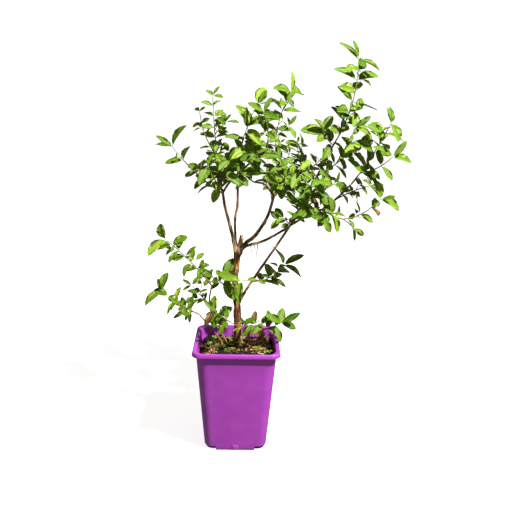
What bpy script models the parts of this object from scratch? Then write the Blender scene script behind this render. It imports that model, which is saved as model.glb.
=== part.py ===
"""A honeyberry bush in a square violet nursery pot, as one solid for each sub-part.

The pot and its soil are lofted from rounded squares. The trunk, boughs and basal stems are
tapered tubes along smooth curves, each cut 0.3 mm clear of the limb that carries it. Each mass
of foliage is one solid: a stem, the shoots and sprigs that branch from it by a seeded rule, and
opposite pairs of leaves with their roots sunk in the twigs.
Plans are written in millimetres. The origin is the centre of the pot's underside, +Z is up, and
the side that faces -Y is the front.
"""

import math
import random
from collections import namedtuple

import bmesh
import bpy
from mathutils import Matrix, Vector
from mathutils.bvhtree import BVHTree

MM = 0.001
CLEAR = 0.3 * MM

# The pot, in millimetres
POT_HEIGHT = 164.6
POT_BASE = 94.5
POT_BODY_TOP = 121.0
BASE_CORNER = 13.0
TOP_CORNER = 17.5
LIP_CORNER = 14.5
LIP_WIDTH = 132.0
LIP_DEPTH = 7.0
LIP_ROUND = 1.4
WALL = 1.9
FLOOR = 2.2
DRAIN_HEIGHT = 7.0
DRAIN_FROM = 29.5
DRAIN_PAST = 5

# The soil, which rises in a low dome to the stems
SOIL_EDGE = 143.0
SOIL_TOP = 149.0
SOIL_PLATEAU = 96.0
SOIL_GAP = 0.3
GROUND = SOIL_TOP + SOIL_GAP

Shoot = namedtuple("Shoot", "on share tip bow pairs leaves sprigs")

# Each limb: the limb that carries it, and its centreline as (x, y, z, radius). A limb with no
# carrier stands on the soil.
LIMBS = {
    "trunk": (None, [(2.5, 21, GROUND, 7.6), (2, 21, 159.5, 5.7), (-0.5, 19, 211, 5.0),
                     (-4, 16, 249, 4.2), (-0.5, 12, 305, 5.0)]),
    "left_bough": ("trunk", [(-3.5, 10.5, 301, 2.6), (-10, 9, 333, 2.3), (-19.5, 2, 370.5, 2.0),
                             (-24.5, -5, 399.5, 1.9)]),
    "mid_bough": ("trunk", [(2.5, 13, 301, 2.9), (10.5, 15, 313.5, 2.8), (26.5, 19, 326.5, 2.6),
                            (44, 25, 354, 2.3), (54.5, 31, 388.5, 1.9)]),
    "right_bough": ("trunk", [(3, 10, 298, 2.4), (10.5, 8.5, 310, 2.1), (46.5, 2, 325, 1.8),
                              (100, -12, 362.5, 1.6), (129, -20, 378, 1.4), (160.5, -32, 412.5, 1.2)]),
    "right_upper_bough": ("trunk", [(1.5, 19, 215.5, 2.3), (8, 21, 228.5, 2.1), (27.5, 27, 259, 2.0),
                                    (81.5, 35, 341, 1.7), (99, 34, 375.5, 1.6), (136.5, 24, 457, 1.2)]),
    "pruned_stem": ("trunk", [(0, 14, 295, 1.9), (-4, 19, 321, 1.8), (-5, 20, 351, 1.7),
                              (-1.5, 21, 379.5, 1.6), (-2.5, 25, 464.5, 1.4)]),
    "fork_stub": ("trunk", [(1.5, 12, 301, 2.4), (3.5, 13, 315, 2.3), (5.5, 14, 327, 1.7)]),
    "low_left_twig": ("trunk", [(-0.5, 17, 221, 1.5), (-8, 15, 229, 1.3), (-23.5, 10, 251.5, 1.0)]),
    "left_cross_bough": ("left_bough", [(-23, -4, 394.5, 1.6), (-13.5, -10, 409.5, 1.5),
                                        (4.5, -17, 429, 1.4), (38, -28, 456.5, 1.1)]),
    "mid_left_bough": ("mid_bough", [(53.5, 30.5, 384.5, 1.6), (47, 36, 396.5, 1.5),
                                     (37, 43, 402.5, 1.4), (23, 50, 404, 1.2)]),
    "mid_right_bough": ("mid_bough", [(55, 31, 386.5, 1.7), (68, 36, 402, 1.6),
                                      (81, 44, 407, 1.4), (96, 54, 412.5, 1.2)]),
    "basal_left_low": (None, [(-22.5, 11.5, GROUND, 1.4), (-25.5, 13, 157, 1.2), (-40, 6, 179.5, 1.2),
                              (-58.5, -5, 206, 1.0)]),
    "basal_left_high": (None, [(-15.5, 17, GROUND, 1.6), (-18.5, 18, 157, 1.4), (-33, 14, 183.5, 1.3),
                               (-43, 9, 220.5, 1.2), (-39.5, 2, 250, 1.1)]),
    "basal_front": (None, [(19.5, -3, GROUND, 1.2), (18.5, -6, 159.5, 1.0), (15, -14, 181, 1.0),
                           (-9.5, -29, 202.5, 0.9)]),
    "basal_right": (None, [(32, 12, GROUND, 1.3), (32.5, 9.5, 158, 1.1), (35.5, 3.5, 170.5, 1.0),
                           (40.5, -3, 181.5, 1.0)]),
}

# Each mass of foliage: the limb that carries it, and its shoots. The first shoot is the stem of
# the mass and starts on the limb; the others start on that stem. A shoot has the share of its
# carrier's length where it starts, its tip, how its middle bows, its pairs of leaves, its first
# and last leaf's length, and how many sprigs the rule grows from it.
MASSES = {
    "left_spire": ("left_bough", [
        Shoot(None, 1.00, (-38, -16, 533), (-5, 0, 0), 8, (24, 19), 2),
        Shoot(0, 0.36, (-58, 3, 511), (-8, 0, -8), 4, (16, 12), 0)]),
    "left_arm": ("left_bough", [
        Shoot(None, 0.93, (-101, 23, 459), (0, 0, -14), 4, (18, 34), 1)]),
    "left_front": ("left_bough", [
        Shoot(None, 0.97, (-42, -46, 434), (0, 0, -4), 3, (24, 28), 1),
        Shoot(0, 0.35, (-12, -58, 446), (0, 0, -6), 3, (24, 28), 1)]),
    "left_back": ("left_bough", [
        Shoot(None, 0.86, (-38, 52, 451), (0, 0, -8), 4, (22, 30), 1),
        Shoot(0, 0.45, (-2, 48, 438), (0, 0, -6), 3, (22, 28), 0)]),
    "cross_front": ("left_cross_bough", [
        Shoot(None, 0.50, (11, -44, 489), (-10, 0, 0), 4, (22, 31), 1),
        Shoot(0, 0.25, (24, -58, 455), (0, 0, -4), 3, (24, 28), 0),
        Shoot(0, 0.97, (25, -36, 521), (-3, 0, 0), 2, (33, 35), 0)]),
    "cross_top": ("left_cross_bough", [
        Shoot(None, 1.00, (32, -56, 511), (10, 0, 0), 4, (24, 28), 0)]),
    "mid_left_tops": ("mid_left_bough", [
        Shoot(None, 1.00, (-2, 62, 424), (0, 0, -4), 3, (24, 28), 0),
        Shoot(0, 0.15, (24, 74, 457), (0, 0, -4), 3, (22, 28), 0)]),
    "mid_spire": ("mid_right_bough", [
        Shoot(None, 0.33, (67, 16, 527), (-26, 0, 0), 8, (20, 33), 2),
        Shoot(0, 0.12, (100, 60, 436), (0, 0, -6), 3, (22, 26), 0),
        Shoot(0, 0.90, (75, 22, 539), (4, 0, 0), 1, (24, 36), 0)]),
    "mid_right_tops": ("mid_right_bough", [
        Shoot(None, 1.00, (125, 74, 427), (0, 0, -6), 3, (22, 28), 1),
        Shoot(0, 0.20, (98, 82, 458), (0, 0, -4), 3, (20, 26), 0)]),
    "mid_front": ("mid_right_bough", [
        Shoot(None, 0.40, (63, -24, 418), (0, 0, -8), 4, (18, 28), 1),
        Shoot(0, 0.50, (38, -30, 427), (0, 0, -4), 2, (22, 28), 0),
        Shoot(0, 0.60, (85, -40, 430), (0, 0, -4), 2, (22, 28), 1)]),
    "mid_back": ("mid_bough", [
        Shoot(None, 0.88, (45, 96, 437), (0, 0, -10), 4, (18, 30), 1),
        Shoot(0, 0.45, (81, 100, 446), (0, 0, -6), 3, (22, 28), 0)]),
    "right_spire": ("right_upper_bough", [
        Shoot(None, 1.00, (169, 12, 588), (22, 0, 0), 8, (34, 34), 1),
        Shoot(0, 0.06, (122, 4, 484), (0, 0, -6), 3, (28, 33), 0)]),
    "right_side": ("right_upper_bough", [
        Shoot(None, 0.84, (173, -10, 468), (0, 0, -6), 5, (22, 32), 1),
        Shoot(0, 0.45, (168, -2, 492), (0, 0, -4), 2, (26, 34), 0)]),
    "right_front": ("right_upper_bough", [
        Shoot(None, 0.66, (105, -38, 419), (0, 0, -8), 4, (18, 28), 1),
        Shoot(0, 0.50, (135, -38, 413), (0, 0, -4), 3, (22, 28), 1)]),
    "right_back": ("right_upper_bough", [
        Shoot(None, 0.74, (88, 60, 464), (0, 0, -8), 5, (16, 18), 2),
        Shoot(0, 0.40, (133, 78, 443), (0, 0, -4), 3, (22, 28), 0)]),
    "right_tip": ("right_bough", [
        Shoot(None, 1.00, (209, -46, 500), (4, 0, -4), 6, (27, 33), 0),
        Shoot(0, 0.20, (211, -60, 454), (0, 0, -10), 3, (24, 30), 0)]),
    "right_tip_small": ("right_bough", [
        Shoot(None, 0.84, (194, -4, 408), (0, 0, 4), 4, (14, 20), 1)]),
    "right_low": ("right_bough", [
        Shoot(None, 0.73, (204, -38, 393), (-8, 0, -44), 5, (13, 33), 0),
        Shoot(0, 0.35, (167, -34, 349), (0, 0, 2), 1, (12, 19), 0)]),
    "right_under": ("right_bough", [
        Shoot(None, 0.62, (134, -36, 370), (0, 0, 6), 3, (24, 30), 1),
        Shoot(0, 0.40, (101, -28, 374), (0, 0, 4), 2, (22, 28), 0)]),
    "right_low_front": ("right_bough", [
        Shoot(None, 0.46, (67, -14, 359), (0, 0, 0), 2, (14, 19), 0)]),
    "right_low_back": ("right_upper_bough", [
        Shoot(None, 0.50, (116, 80, 386), (0, 0, -4), 4, (18, 28), 1),
        Shoot(0, 0.45, (83, 82, 404), (0, 0, -4), 2, (22, 26), 0)]),
    "low_left_upper": ("basal_left_high", [
        Shoot(None, 1.00, (-106, -30, 329), (4, 0, 4), 7, (12, 33), 0),
        Shoot(0, 0.06, (-21, 2, 261), (0, 0, 2), 1, (24, 36), 0)]),
    "low_left_lower": ("basal_left_low", [
        Shoot(None, 1.00, (-112, -34, 252), (4, 0, -8), 5, (14, 33), 0),
        Shoot(0, 0.14, (-82, 2, 206), (0, 0, 0), 2, (15, 19), 0)]),
    "low_left_inner": ("basal_left_high", [
        Shoot(None, 0.70, (-72, 24, 244), (0, 0, -4), 3, (14, 20), 1)]),
    "low_left_front": ("basal_left_high", [
        Shoot(None, 0.42, (-26, -22, 212), (0, 0, 0), 3, (16, 24), 0)]),
    "low_right_spray": ("right_upper_bough", [
        Shoot(None, 0.15, (73, 44, 274), (4, 0, -16), 4, (28, 36), 0),
        Shoot(0, 0.30, (5, -14, 263), (0, 0, 0), 1, (30, 34), 0)]),
    "base_left": ("basal_front", [
        Shoot(None, 1.00, (-32, -38, 222), (0, 0, -2), 3, (20, 27), 0)]),
    "base_front": ("basal_front", [
        Shoot(None, 0.45, (9, -22, 194), (0, 0, 2), 1, (15, 19), 0)]),
    "base_right": ("basal_right", [
        Shoot(None, 1.00, (68, -8, 195), (0, 0, -2), 3, (24, 34), 0),
        Shoot(0, 0.05, (27, -12, 193), (0, 0, 2), 1, (22, 24), 0)]),
    "trunk_twig_leaves": ("low_left_twig", [
        Shoot(None, 1.00, (-37, 6, 262), (0, 0, 0), 2, (18, 24), 0)]),
}

# How the foliage grows
STEM_FOOT = 1.1
STEM_TIP = 0.7
SPRIG_FOOT = 0.75
SPRIG_LENGTH = (17, 27)
SPRIG_PAIRS = 2
BARE_SHARE = 0.22
LEAF_OPEN = (40, 76)
LEAF_ROLL = 16
LEAF_SIZE = (0.84, 1.16)
LEAF_DROOP = (0.02, 0.22)
LEAF_WIDTH = (0.52, 0.60)
LEAF_SUNK = 0.15
LIGHT = Vector((0.15, -0.65, 0.60))
CROWN_AXIS = Vector((50, 15, 0))
FACE_OUT = 0.42
TURN_TO_LIGHT = 0.66

# How a leaf that would touch something is turned and made smaller, and how clear it then stays
TRIES = 6
TRY_TURN = 18
TRY_SMALLER = 0.05
TRIAL_CLEAR = 0.25
BLADE_FROM = 0.2

# A leaf's solid
LEAF_WIDEST = 0.46
LEAF_FOLD = 0.16
LEAF_ARCH = 0.14
LEAF_THICK = 0.7

COLOURS = {
    "pot_violet": ((0.40, 0.07, 0.47), 0.45),
    "soil_peat": ((0.035, 0.022, 0.015), 0.95),
    "bark_old": ((0.23, 0.14, 0.08), 0.9),
    "bark_young": ((0.36, 0.21, 0.11), 0.8),
    "leaf_green": ((0.13, 0.27, 0.03), 0.5),
}


def material(name):
    """The plain material of that name."""
    found = bpy.data.materials.get(name)
    if found is None:
        colour, roughness = COLOURS[name]
        found = bpy.data.materials.new(name)
        found.use_nodes = True
        shader = found.node_tree.nodes["Principled BSDF"]
        shader.inputs["Base Color"].default_value = (*colour, 1.0)
        shader.inputs["Roughness"].default_value = roughness
        shader.inputs["Metallic"].default_value = 0.0
    return found


def clear_scene():
    for thing in list(bpy.data.objects):
        bpy.data.objects.remove(thing, do_unlink=True)


def to_object(bm, name, finish):
    """The bmesh as an object of the scene, with its faces pointing out."""
    bmesh.ops.recalc_face_normals(bm, faces=bm.faces)
    mesh = bpy.data.meshes.new(name)
    bm.to_mesh(mesh)
    bm.free()
    mesh.materials.append(material(finish))
    made = bpy.data.objects.new(name, mesh)
    bpy.context.scene.collection.objects.link(made)
    return made


def evaluated_copy(thing):
    """The object's mesh with its modifiers, as new mesh data."""
    bpy.context.view_layer.update()
    graph = bpy.context.evaluated_depsgraph_get()
    return bpy.data.meshes.new_from_object(thing.evaluated_get(graph))


def keep_largest_island(thing):
    """Drops loose scraps that a Boolean leaves beside the main body."""
    bm = bmesh.new()
    bm.from_mesh(thing.data)
    left = set(bm.verts)
    islands = []
    while left:
        island, edge_of_it = set(), [left.pop()]
        while edge_of_it:
            vert = edge_of_it.pop()
            island.add(vert)
            for edge in vert.link_edges:
                other = edge.other_vert(vert)
                if other in left:
                    left.remove(other)
                    edge_of_it.append(other)
        islands.append(island)
    islands.sort(key=len)
    for island in islands[:-1]:
        bmesh.ops.delete(bm, geom=list(island), context="VERTS")
    bm.to_mesh(thing.data)
    bm.free()


def apply_boolean(thing, operation, others):
    """Joins the others to the thing, or cuts them from it, and removes them."""
    group = bpy.data.collections.new("operands")
    bpy.context.scene.collection.children.link(group)
    for other in others:
        bpy.context.scene.collection.objects.unlink(other)
        group.objects.link(other)
    modifier = thing.modifiers.new("boolean", "BOOLEAN")
    modifier.operation = operation
    modifier.operand_type = "COLLECTION"
    modifier.collection = group
    modifier.solver = "EXACT"
    mesh = evaluated_copy(thing)
    thing.modifiers.remove(modifier)
    old = thing.data
    thing.data = mesh
    bpy.data.meshes.remove(old)
    for other in others:
        bpy.data.objects.remove(other, do_unlink=True)
    bpy.data.collections.remove(group)


def extended(bm, face):
    """Extrudes the face and gives its copy. The first face of a solid stays as its end."""
    grown = bmesh.ops.extrude_face_region(bm, geom=[face, *face.edges])
    return next(f for f in grown["geom"] if isinstance(f, bmesh.types.BMFace))


def lofted(name, finish, levels):
    """A solid through rounded squares, given as (width, height, corner) from its underside
    inwards."""
    bm = bmesh.new()
    first_width, first_height, first_corner = levels[0]
    bmesh.ops.create_grid(bm, x_segments=1, y_segments=1, size=first_width / 2)
    bmesh.ops.bevel(bm, geom=bm.verts[:], offset=first_corner, segments=4, affect="VERTICES",
                    profile=0.5, material=-1)
    bmesh.ops.translate(bm, vec=(0, 0, first_height), verts=bm.verts)
    face = bm.faces[:][0]
    for (width, _, corner), (new_width, new_height, new_corner) in zip(levels, levels[1:]):
        face = extended(bm, face)
        for vert in face.verts:
            for axis in (0, 1):
                into_corner = abs(vert.co[axis]) - (width / 2 - corner)
                reach = new_width / 2 - new_corner + into_corner * new_corner / corner
                vert.co[axis] = math.copysign(reach, vert.co[axis])
            vert.co.z = new_height
    bmesh.ops.scale(bm, vec=(MM, MM, MM), verts=bm.verts)
    return to_object(bm, name, finish)


def inner_width(height):
    """The width between the pot's inner walls at a height above the ground."""
    taper = (POT_BODY_TOP - POT_BASE) / (POT_HEIGHT - LIP_DEPTH)
    return POT_BASE + taper * height - 2 * WALL


def inner_corner(height):
    """The radius of the pot's inner corners at a height above the ground."""
    share = height / (POT_HEIGHT - LIP_DEPTH)
    return BASE_CORNER + (TOP_CORNER - BASE_CORNER) * share - WALL


def make_pot():
    under_lip, under_round = POT_HEIGHT - LIP_DEPTH, POT_HEIGHT - LIP_ROUND
    pot = lofted("pot", "pot_violet", [
        (POT_BASE, 0, BASE_CORNER),
        (POT_BODY_TOP, under_lip, TOP_CORNER),
        (LIP_WIDTH - 2 * LIP_ROUND, under_lip, LIP_CORNER - LIP_ROUND),
        (LIP_WIDTH, under_lip + LIP_ROUND, LIP_CORNER),
        (LIP_WIDTH, under_round, LIP_CORNER),
        (LIP_WIDTH - 2 * LIP_ROUND, POT_HEIGHT, LIP_CORNER - LIP_ROUND),
        (inner_width(POT_HEIGHT) + 2 * LIP_ROUND, POT_HEIGHT, LIP_CORNER - LIP_ROUND),
        (inner_width(under_round), under_round, inner_corner(under_round)),
        (inner_width(FLOOR), FLOOR, inner_corner(FLOOR)),
    ])
    drains = []
    side = POT_BASE / 2 - DRAIN_FROM + DRAIN_PAST
    for sign_x in (-1, 1):
        for sign_y in (-1, 1):
            bm = bmesh.new()
            bmesh.ops.create_cube(bm, size=1)
            bmesh.ops.scale(bm, vec=(side * MM, side * MM, 2 * DRAIN_HEIGHT * MM), verts=bm.verts)
            centre = (DRAIN_FROM + side / 2) * MM
            bmesh.ops.translate(bm, vec=(sign_x * centre, sign_y * centre, 0), verts=bm.verts)
            drains.append(to_object(bm, "drain", "pot_violet"))
    apply_boolean(pot, "DIFFERENCE", drains)
    return pot


def make_soil():
    floor = FLOOR + SOIL_GAP
    return lofted("soil", "soil_peat", [
        (inner_width(floor) - 2 * SOIL_GAP, floor, inner_corner(floor) - SOIL_GAP),
        (inner_width(SOIL_EDGE) - 2 * SOIL_GAP, SOIL_EDGE, inner_corner(SOIL_EDGE) - SOIL_GAP),
        (SOIL_PLATEAU, SOIL_TOP, inner_corner(SOIL_EDGE) - SOIL_GAP),
    ])


def curve_through(points, spans):
    """Points on a Catmull-Rom curve through the given ones, with their radii, in metres."""
    rows = [Vector(p) * MM for p in points]
    rows = [2 * rows[0] - rows[1], *rows, 2 * rows[-1] - rows[-2]]
    path = []
    for a, b, c, d in zip(rows, rows[1:], rows[2:], rows[3:]):
        for step in range(spans):
            s = step / spans
            path.append(0.5 * (2 * b + (c - a) * s + (2 * a - 5 * b + 4 * c - d) * s * s
                               + (3 * b - a - 3 * c + d) * s ** 3))
    path.append(rows[-2])
    return [p.to_3d() for p in path], [p[3] for p in path]


def ring_frames(path, first_normal):
    """A matrix for each ring of a tube: its Z runs along the path, and it doesn't twist."""
    tangents = [(b - a).normalized() for a, b in zip(path, path[1:])]
    normals = [(a + b).normalized() for a, b in zip(tangents, tangents[1:])]
    normals = [first_normal or tangents[0], *normals, tangents[-1]]
    turn = normals[0].to_track_quat("Z", "Y")
    frames = []
    for i, (point, normal) in enumerate(zip(path, normals)):
        if i:
            turn = normals[i - 1].rotation_difference(normal) @ turn
        frames.append(Matrix.Translation(point) @ turn.to_matrix().to_4x4())
    return frames


def tube(name, finish, path, radii, sides, flat_foot=False):
    """A tapered tube along the path, extruded ring by ring from its foot."""
    frames = ring_frames(path, Vector((0, 0, 1)) if flat_foot else None)
    bm = bmesh.new()
    bmesh.ops.create_circle(bm, cap_ends=True, radius=radii[0], segments=sides, matrix=frames[0])
    face = bm.faces[:][0]
    for i in range(1, len(path)):
        face = extended(bm, face)
        share = Matrix.Scale(radii[i] / radii[i - 1], 4)
        move = frames[i] @ share @ frames[i - 1].inverted()
        bmesh.ops.transform(bm, matrix=move, verts=face.verts)
    return to_object(bm, name, finish)


def grown_tube(path, radii, sides):
    """A cutter: the tube made thicker and longer by the clearance."""
    start = path[0] + (path[0] - path[1]).normalized() * CLEAR
    end = path[-1] + (path[-1] - path[-2]).normalized() * CLEAR
    return tube("cutter", "bark_old", [start, *path[1:-1], end], [r + CLEAR for r in radii], sides)


def make_limbs():
    """The trunk, boughs and basal stems, and each one's path and radii."""
    plans = {}
    for name, (carrier, points) in LIMBS.items():
        path, radii = curve_through(points, 2)
        sides = 10 if name == "trunk" else 7
        finish = "bark_young" if name.startswith("basal") else "bark_old"
        limb = tube(name, finish, path, radii, sides, flat_foot=carrier is None)
        if carrier is not None:
            tree = tree_of(limb)
            near = [n for n in plans if n == carrier or tree.overlap(plans[n][3])]
            cutters = [grown_tube(*plans[n][:3]) for n in near]
            apply_boolean(limb, "DIFFERENCE", cutters)
            keep_largest_island(limb)
        plans[name] = (path, radii, sides, tree_of(limb))
    return plans


def tree_of(*things):
    """A search tree of the objects' faces."""
    points, faces = [], []
    for thing in things:
        start = len(points)
        points += [v.co.copy() for v in thing.data.vertices]
        faces += [[start + i for i in p.vertices] for p in thing.data.polygons]
    return BVHTree.FromPolygons(points, faces)


def point_at(path, share):
    """The point at that share of the path's length, and the direction there."""
    lengths = [(b - a).length for a, b in zip(path, path[1:])]
    left = share * sum(lengths)
    for a, b, length in zip(path, path[1:], lengths):
        if left <= length + 1e-9:
            return a.lerp(b, left / length), (b - a).normalized()
        left -= length
    return path[-1].copy(), (path[-1] - path[-2]).normalized()


def bowed_path(start, tip, bow, spans=5):
    """A curve from start to tip whose middle is pulled by half the bow."""
    middle = (start + tip) / 2 + bow
    return [start * (1 - s) ** 2 + middle * 2 * s * (1 - s) + tip * s * s
            for s in (i / spans for i in range(spans + 1))]


def leaf_frame(root, along, upper):
    """A matrix whose X runs along the leaf and whose Z is its upper side."""
    side = upper.cross(along).normalized()
    normal = along.cross(side)
    turn = Matrix((along, side, normal)).transposed().to_4x4()
    return Matrix.Translation(root) @ turn


def facing(point):
    """Where a leaf's upper side looks there: to the light, and away from the crown's axis."""
    away = point - CROWN_AXIS * MM
    away.z = 0
    return (LIGHT + away.normalized() * FACE_OUT).normalized()


def pair_of_leaves(rule, point, axis, roll, length):
    """The two opposite leaves of one node, as (root, direction, upper side, length, width)."""
    across = axis.cross(Vector((0, 1, 0)))
    if across.length < 0.2:
        across = axis.cross(Vector((0, 0, 1)))
    across = Matrix.Rotation(math.radians(roll), 3, axis) @ across.normalized()
    light = facing(point)
    leaves = []
    for side in (across, -across):
        opened = math.radians(rule.uniform(*LEAF_OPEN))
        along = axis * math.cos(opened) + side * math.sin(opened)
        along -= light * along.dot(light) * TURN_TO_LIGHT
        along.z -= rule.uniform(*LEAF_DROOP)
        along.normalize()
        inner = axis * math.sin(opened) - side * math.cos(opened)
        wander = Vector((rule.uniform(-1, 1), rule.uniform(-1, 1), rule.uniform(-1, 1)))
        upper = inner * 0.4 + light + wander * 0.4
        size = length * rule.uniform(*LEAF_SIZE)
        leaves.append((point, along, upper, size, size * rule.uniform(*LEAF_WIDTH)))
    return leaves


def shoot_leaves(rule, path, pairs, first, last):
    """All the leaves of a shoot: opposite pairs, each a quarter turn on from the one below."""
    leaves = []
    roll = rule.uniform(0, 90)
    for i in range(pairs):
        share = 1.0 if pairs == 1 else BARE_SHARE + (1 - BARE_SHARE) * i / (pairs - 1)
        point, axis = point_at(path, min(share, 0.985))
        length = first + (last - first) * share
        turn = roll + 90 * i + rule.uniform(-LEAF_ROLL, LEAF_ROLL)
        leaves += pair_of_leaves(rule, point, axis, turn, length)
    return leaves


def tip_leaf(rule, path, last):
    """The single young leaf that ends a shoot."""
    point, axis = point_at(path, 0.99)
    wander = Vector((rule.uniform(-0.8, 0.8), rule.uniform(-0.6, 0.6), rule.uniform(-0.3, 0.5)))
    size = last * rule.uniform(0.6, 1.05)
    return (point, (axis + wander).normalized(), facing(point), size, size * 0.36)


def sprigs_of(rule, path, count):
    """Short side twigs that the rule grows from a shoot, as paths."""
    sprigs = []
    for i in range(count):
        share = 0.12 + 0.62 * (i + rule.uniform(0.2, 0.8)) / max(count, 1)
        point, axis = point_at(path, share)
        around = Matrix.Rotation(rule.uniform(0, 2 * math.pi), 3, axis)
        side = around @ axis.orthogonal().normalized()
        along = (axis * 0.55 + side * 0.8 + Vector((0, 0, 0.25))).normalized()
        tip = point + along * rule.uniform(*SPRIG_LENGTH) * MM
        sprigs.append(bowed_path(point, tip, Vector((0, 0, 2 * MM)), 2))
    return sprigs


def grow(mass, limb_paths):
    """The rule: every stem of a mass, as (path, foot radius, tip radius), and its leaves."""
    carrier, shoots = MASSES[mass]
    stems, leaves, side_stems, side_leaves = [], [], [], []
    for number, shoot in enumerate(shoots):
        rule = random.Random(f"{mass} {number}")
        on = limb_paths[carrier] if shoot.on is None else stems[shoot.on][0]
        start, _ = point_at(on, shoot.share)
        path = bowed_path(start, Vector(shoot.tip) * MM, Vector(shoot.bow) * MM)
        foot = STEM_FOOT if shoot.on is None else STEM_FOOT * 0.85
        stems.append((path, foot * MM, STEM_TIP * MM))
        first, last = shoot.leaves
        leaves.append(shoot_leaves(rule, path, shoot.pairs, first, last))
        leaves[-1].append(tip_leaf(rule, path, last))
        size = (first + last) / 2
        for sprig in sprigs_of(rule, path, shoot.sprigs):
            side_stems.append((sprig, SPRIG_FOOT * MM, STEM_TIP * 0.8 * MM))
            side_leaves.append(shoot_leaves(rule, sprig, SPRIG_PAIRS, size * 0.7, size * 0.85))
            side_leaves[-1].append(tip_leaf(rule, sprig, size * 0.8))
    return stems + side_stems, leaves + side_leaves


def leaf_shape(leaf, more=0.0, foot=0.0):
    """The corners and faces of a leaf's solid. A trial leaf is a little larger all round, and
    may start beyond its foot."""
    root, along, upper, length, width = leaf
    place = leaf_frame(root, along, upper)

    def corner(share, across, lift):
        arch = LEAF_ARCH * length * share * share
        fold = LEAF_FOLD * abs(across)
        return place @ (Vector((share * (length + more), across, fold - arch + lift)) * MM)

    half, lift = width / 2 + more, LEAF_THICK / 2 + more
    points = [corner(foot or -LEAF_SUNK / length, 0, 0), corner(1, 0, 0),
              corner(LEAF_WIDEST, half, 0), corner(LEAF_WIDEST, -half, 0),
              corner(LEAF_WIDEST, 0, lift), corner(LEAF_WIDEST, 0, -lift)]
    faces = []
    for end in (0, 1):
        for side in (2, 3):
            for middle in (4, 5):
                faces.append((end, side, middle))
    return points, faces


def leaf_object(leaf):
    points, faces = leaf_shape(leaf)
    bm = bmesh.new()
    corners = [bm.verts.new(p) for p in points]
    for face in faces:
        bm.faces.new([corners[i] for i in face])
    return to_object(bm, "leaf", "leaf_green")


def touches(tree, others):
    return any(tree.overlap(other) for other in others)


def fitting_leaf(leaf, trees, own_trees):
    """The leaf, or one turned and made smaller, that touches nothing, or None. Within its own
    mass only its blade is kept clear, as its foot is sunk in the twig."""
    root, along, upper, length, width = leaf
    for attempt in range(TRIES):
        swing = math.radians(TRY_TURN * (attempt + 1) // 2 * (-1) ** attempt)
        turn = Matrix.Rotation(swing, 3, upper.normalized())
        share = 1 - TRY_SMALLER * attempt
        trial = (root, (turn @ along).normalized(), upper, length * share, width * share)
        whole = BVHTree.FromPolygons(*leaf_shape(trial, TRIAL_CLEAR))
        blade = BVHTree.FromPolygons(*leaf_shape(trial, foot=BLADE_FROM))
        if not touches(whole, trees) and not touches(blade, own_trees):
            return trial
    return None


def placed_leaves(group, trees, own_trees):
    """The solids of a stem's leaves, without those that fit nowhere."""
    made = []
    for leaf in group:
        fitted = fitting_leaf(leaf, trees, own_trees)
        if fitted is not None:
            made.append(leaf_object(fitted))
            own_trees.append(BVHTree.FromPolygons(*leaf_shape(fitted)))
    return made


def stem_object(name, stem):
    path, foot, tip = stem
    radii = [foot + (tip - foot) * k / (len(path) - 1) for k in range(len(path))]
    return tube(name, "leaf_green", path, radii, 3)


def make_masses(plans, others):
    """Each mass of foliage. Its leaves and sprigs touch no limb and no other mass."""
    limb_paths = {name: plan[0] for name, plan in plans.items()}
    grown = {mass: grow(mass, limb_paths) for mass in MASSES}
    mains = {mass: [stem_object(mass, stem) for stem in grown[mass][0][:len(shoots)]]
             for mass, (_, shoots) in MASSES.items()}
    stem_trees = {mass: tree_of(*stems) for mass, stems in mains.items()}
    taken = [plan[3] for plan in plans.values()] + [tree_of(other) for other in others]
    for mass, (carrier, shoots) in MASSES.items():
        trees = taken + [tree for other, tree in stem_trees.items() if other != mass]
        own_trees = []
        body, *parts = mains[mass]
        for i, (stem, group) in enumerate(zip(*grown[mass])):
            if i >= len(shoots):
                sprig = stem_object("sprig", stem)
                if touches(tree_of(sprig), trees):
                    bpy.data.objects.remove(sprig, do_unlink=True)
                    continue
                parts.append(sprig)
            parts += placed_leaves(group, trees, own_trees)
        apply_boolean(body, "DIFFERENCE", [grown_tube(*plans[carrier][:3])])
        keep_largest_island(body)
        apply_boolean(body, "UNION", parts)
        keep_largest_island(body)
        taken.append(tree_of(body))


def main():
    clear_scene()
    pot = make_pot()
    soil = make_soil()
    plans = make_limbs()
    make_masses(plans, [pot, soil])


main()
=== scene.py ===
import math
import random
from collections import namedtuple

import bmesh
import bpy
from mathutils import Matrix, Vector, noise


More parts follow.
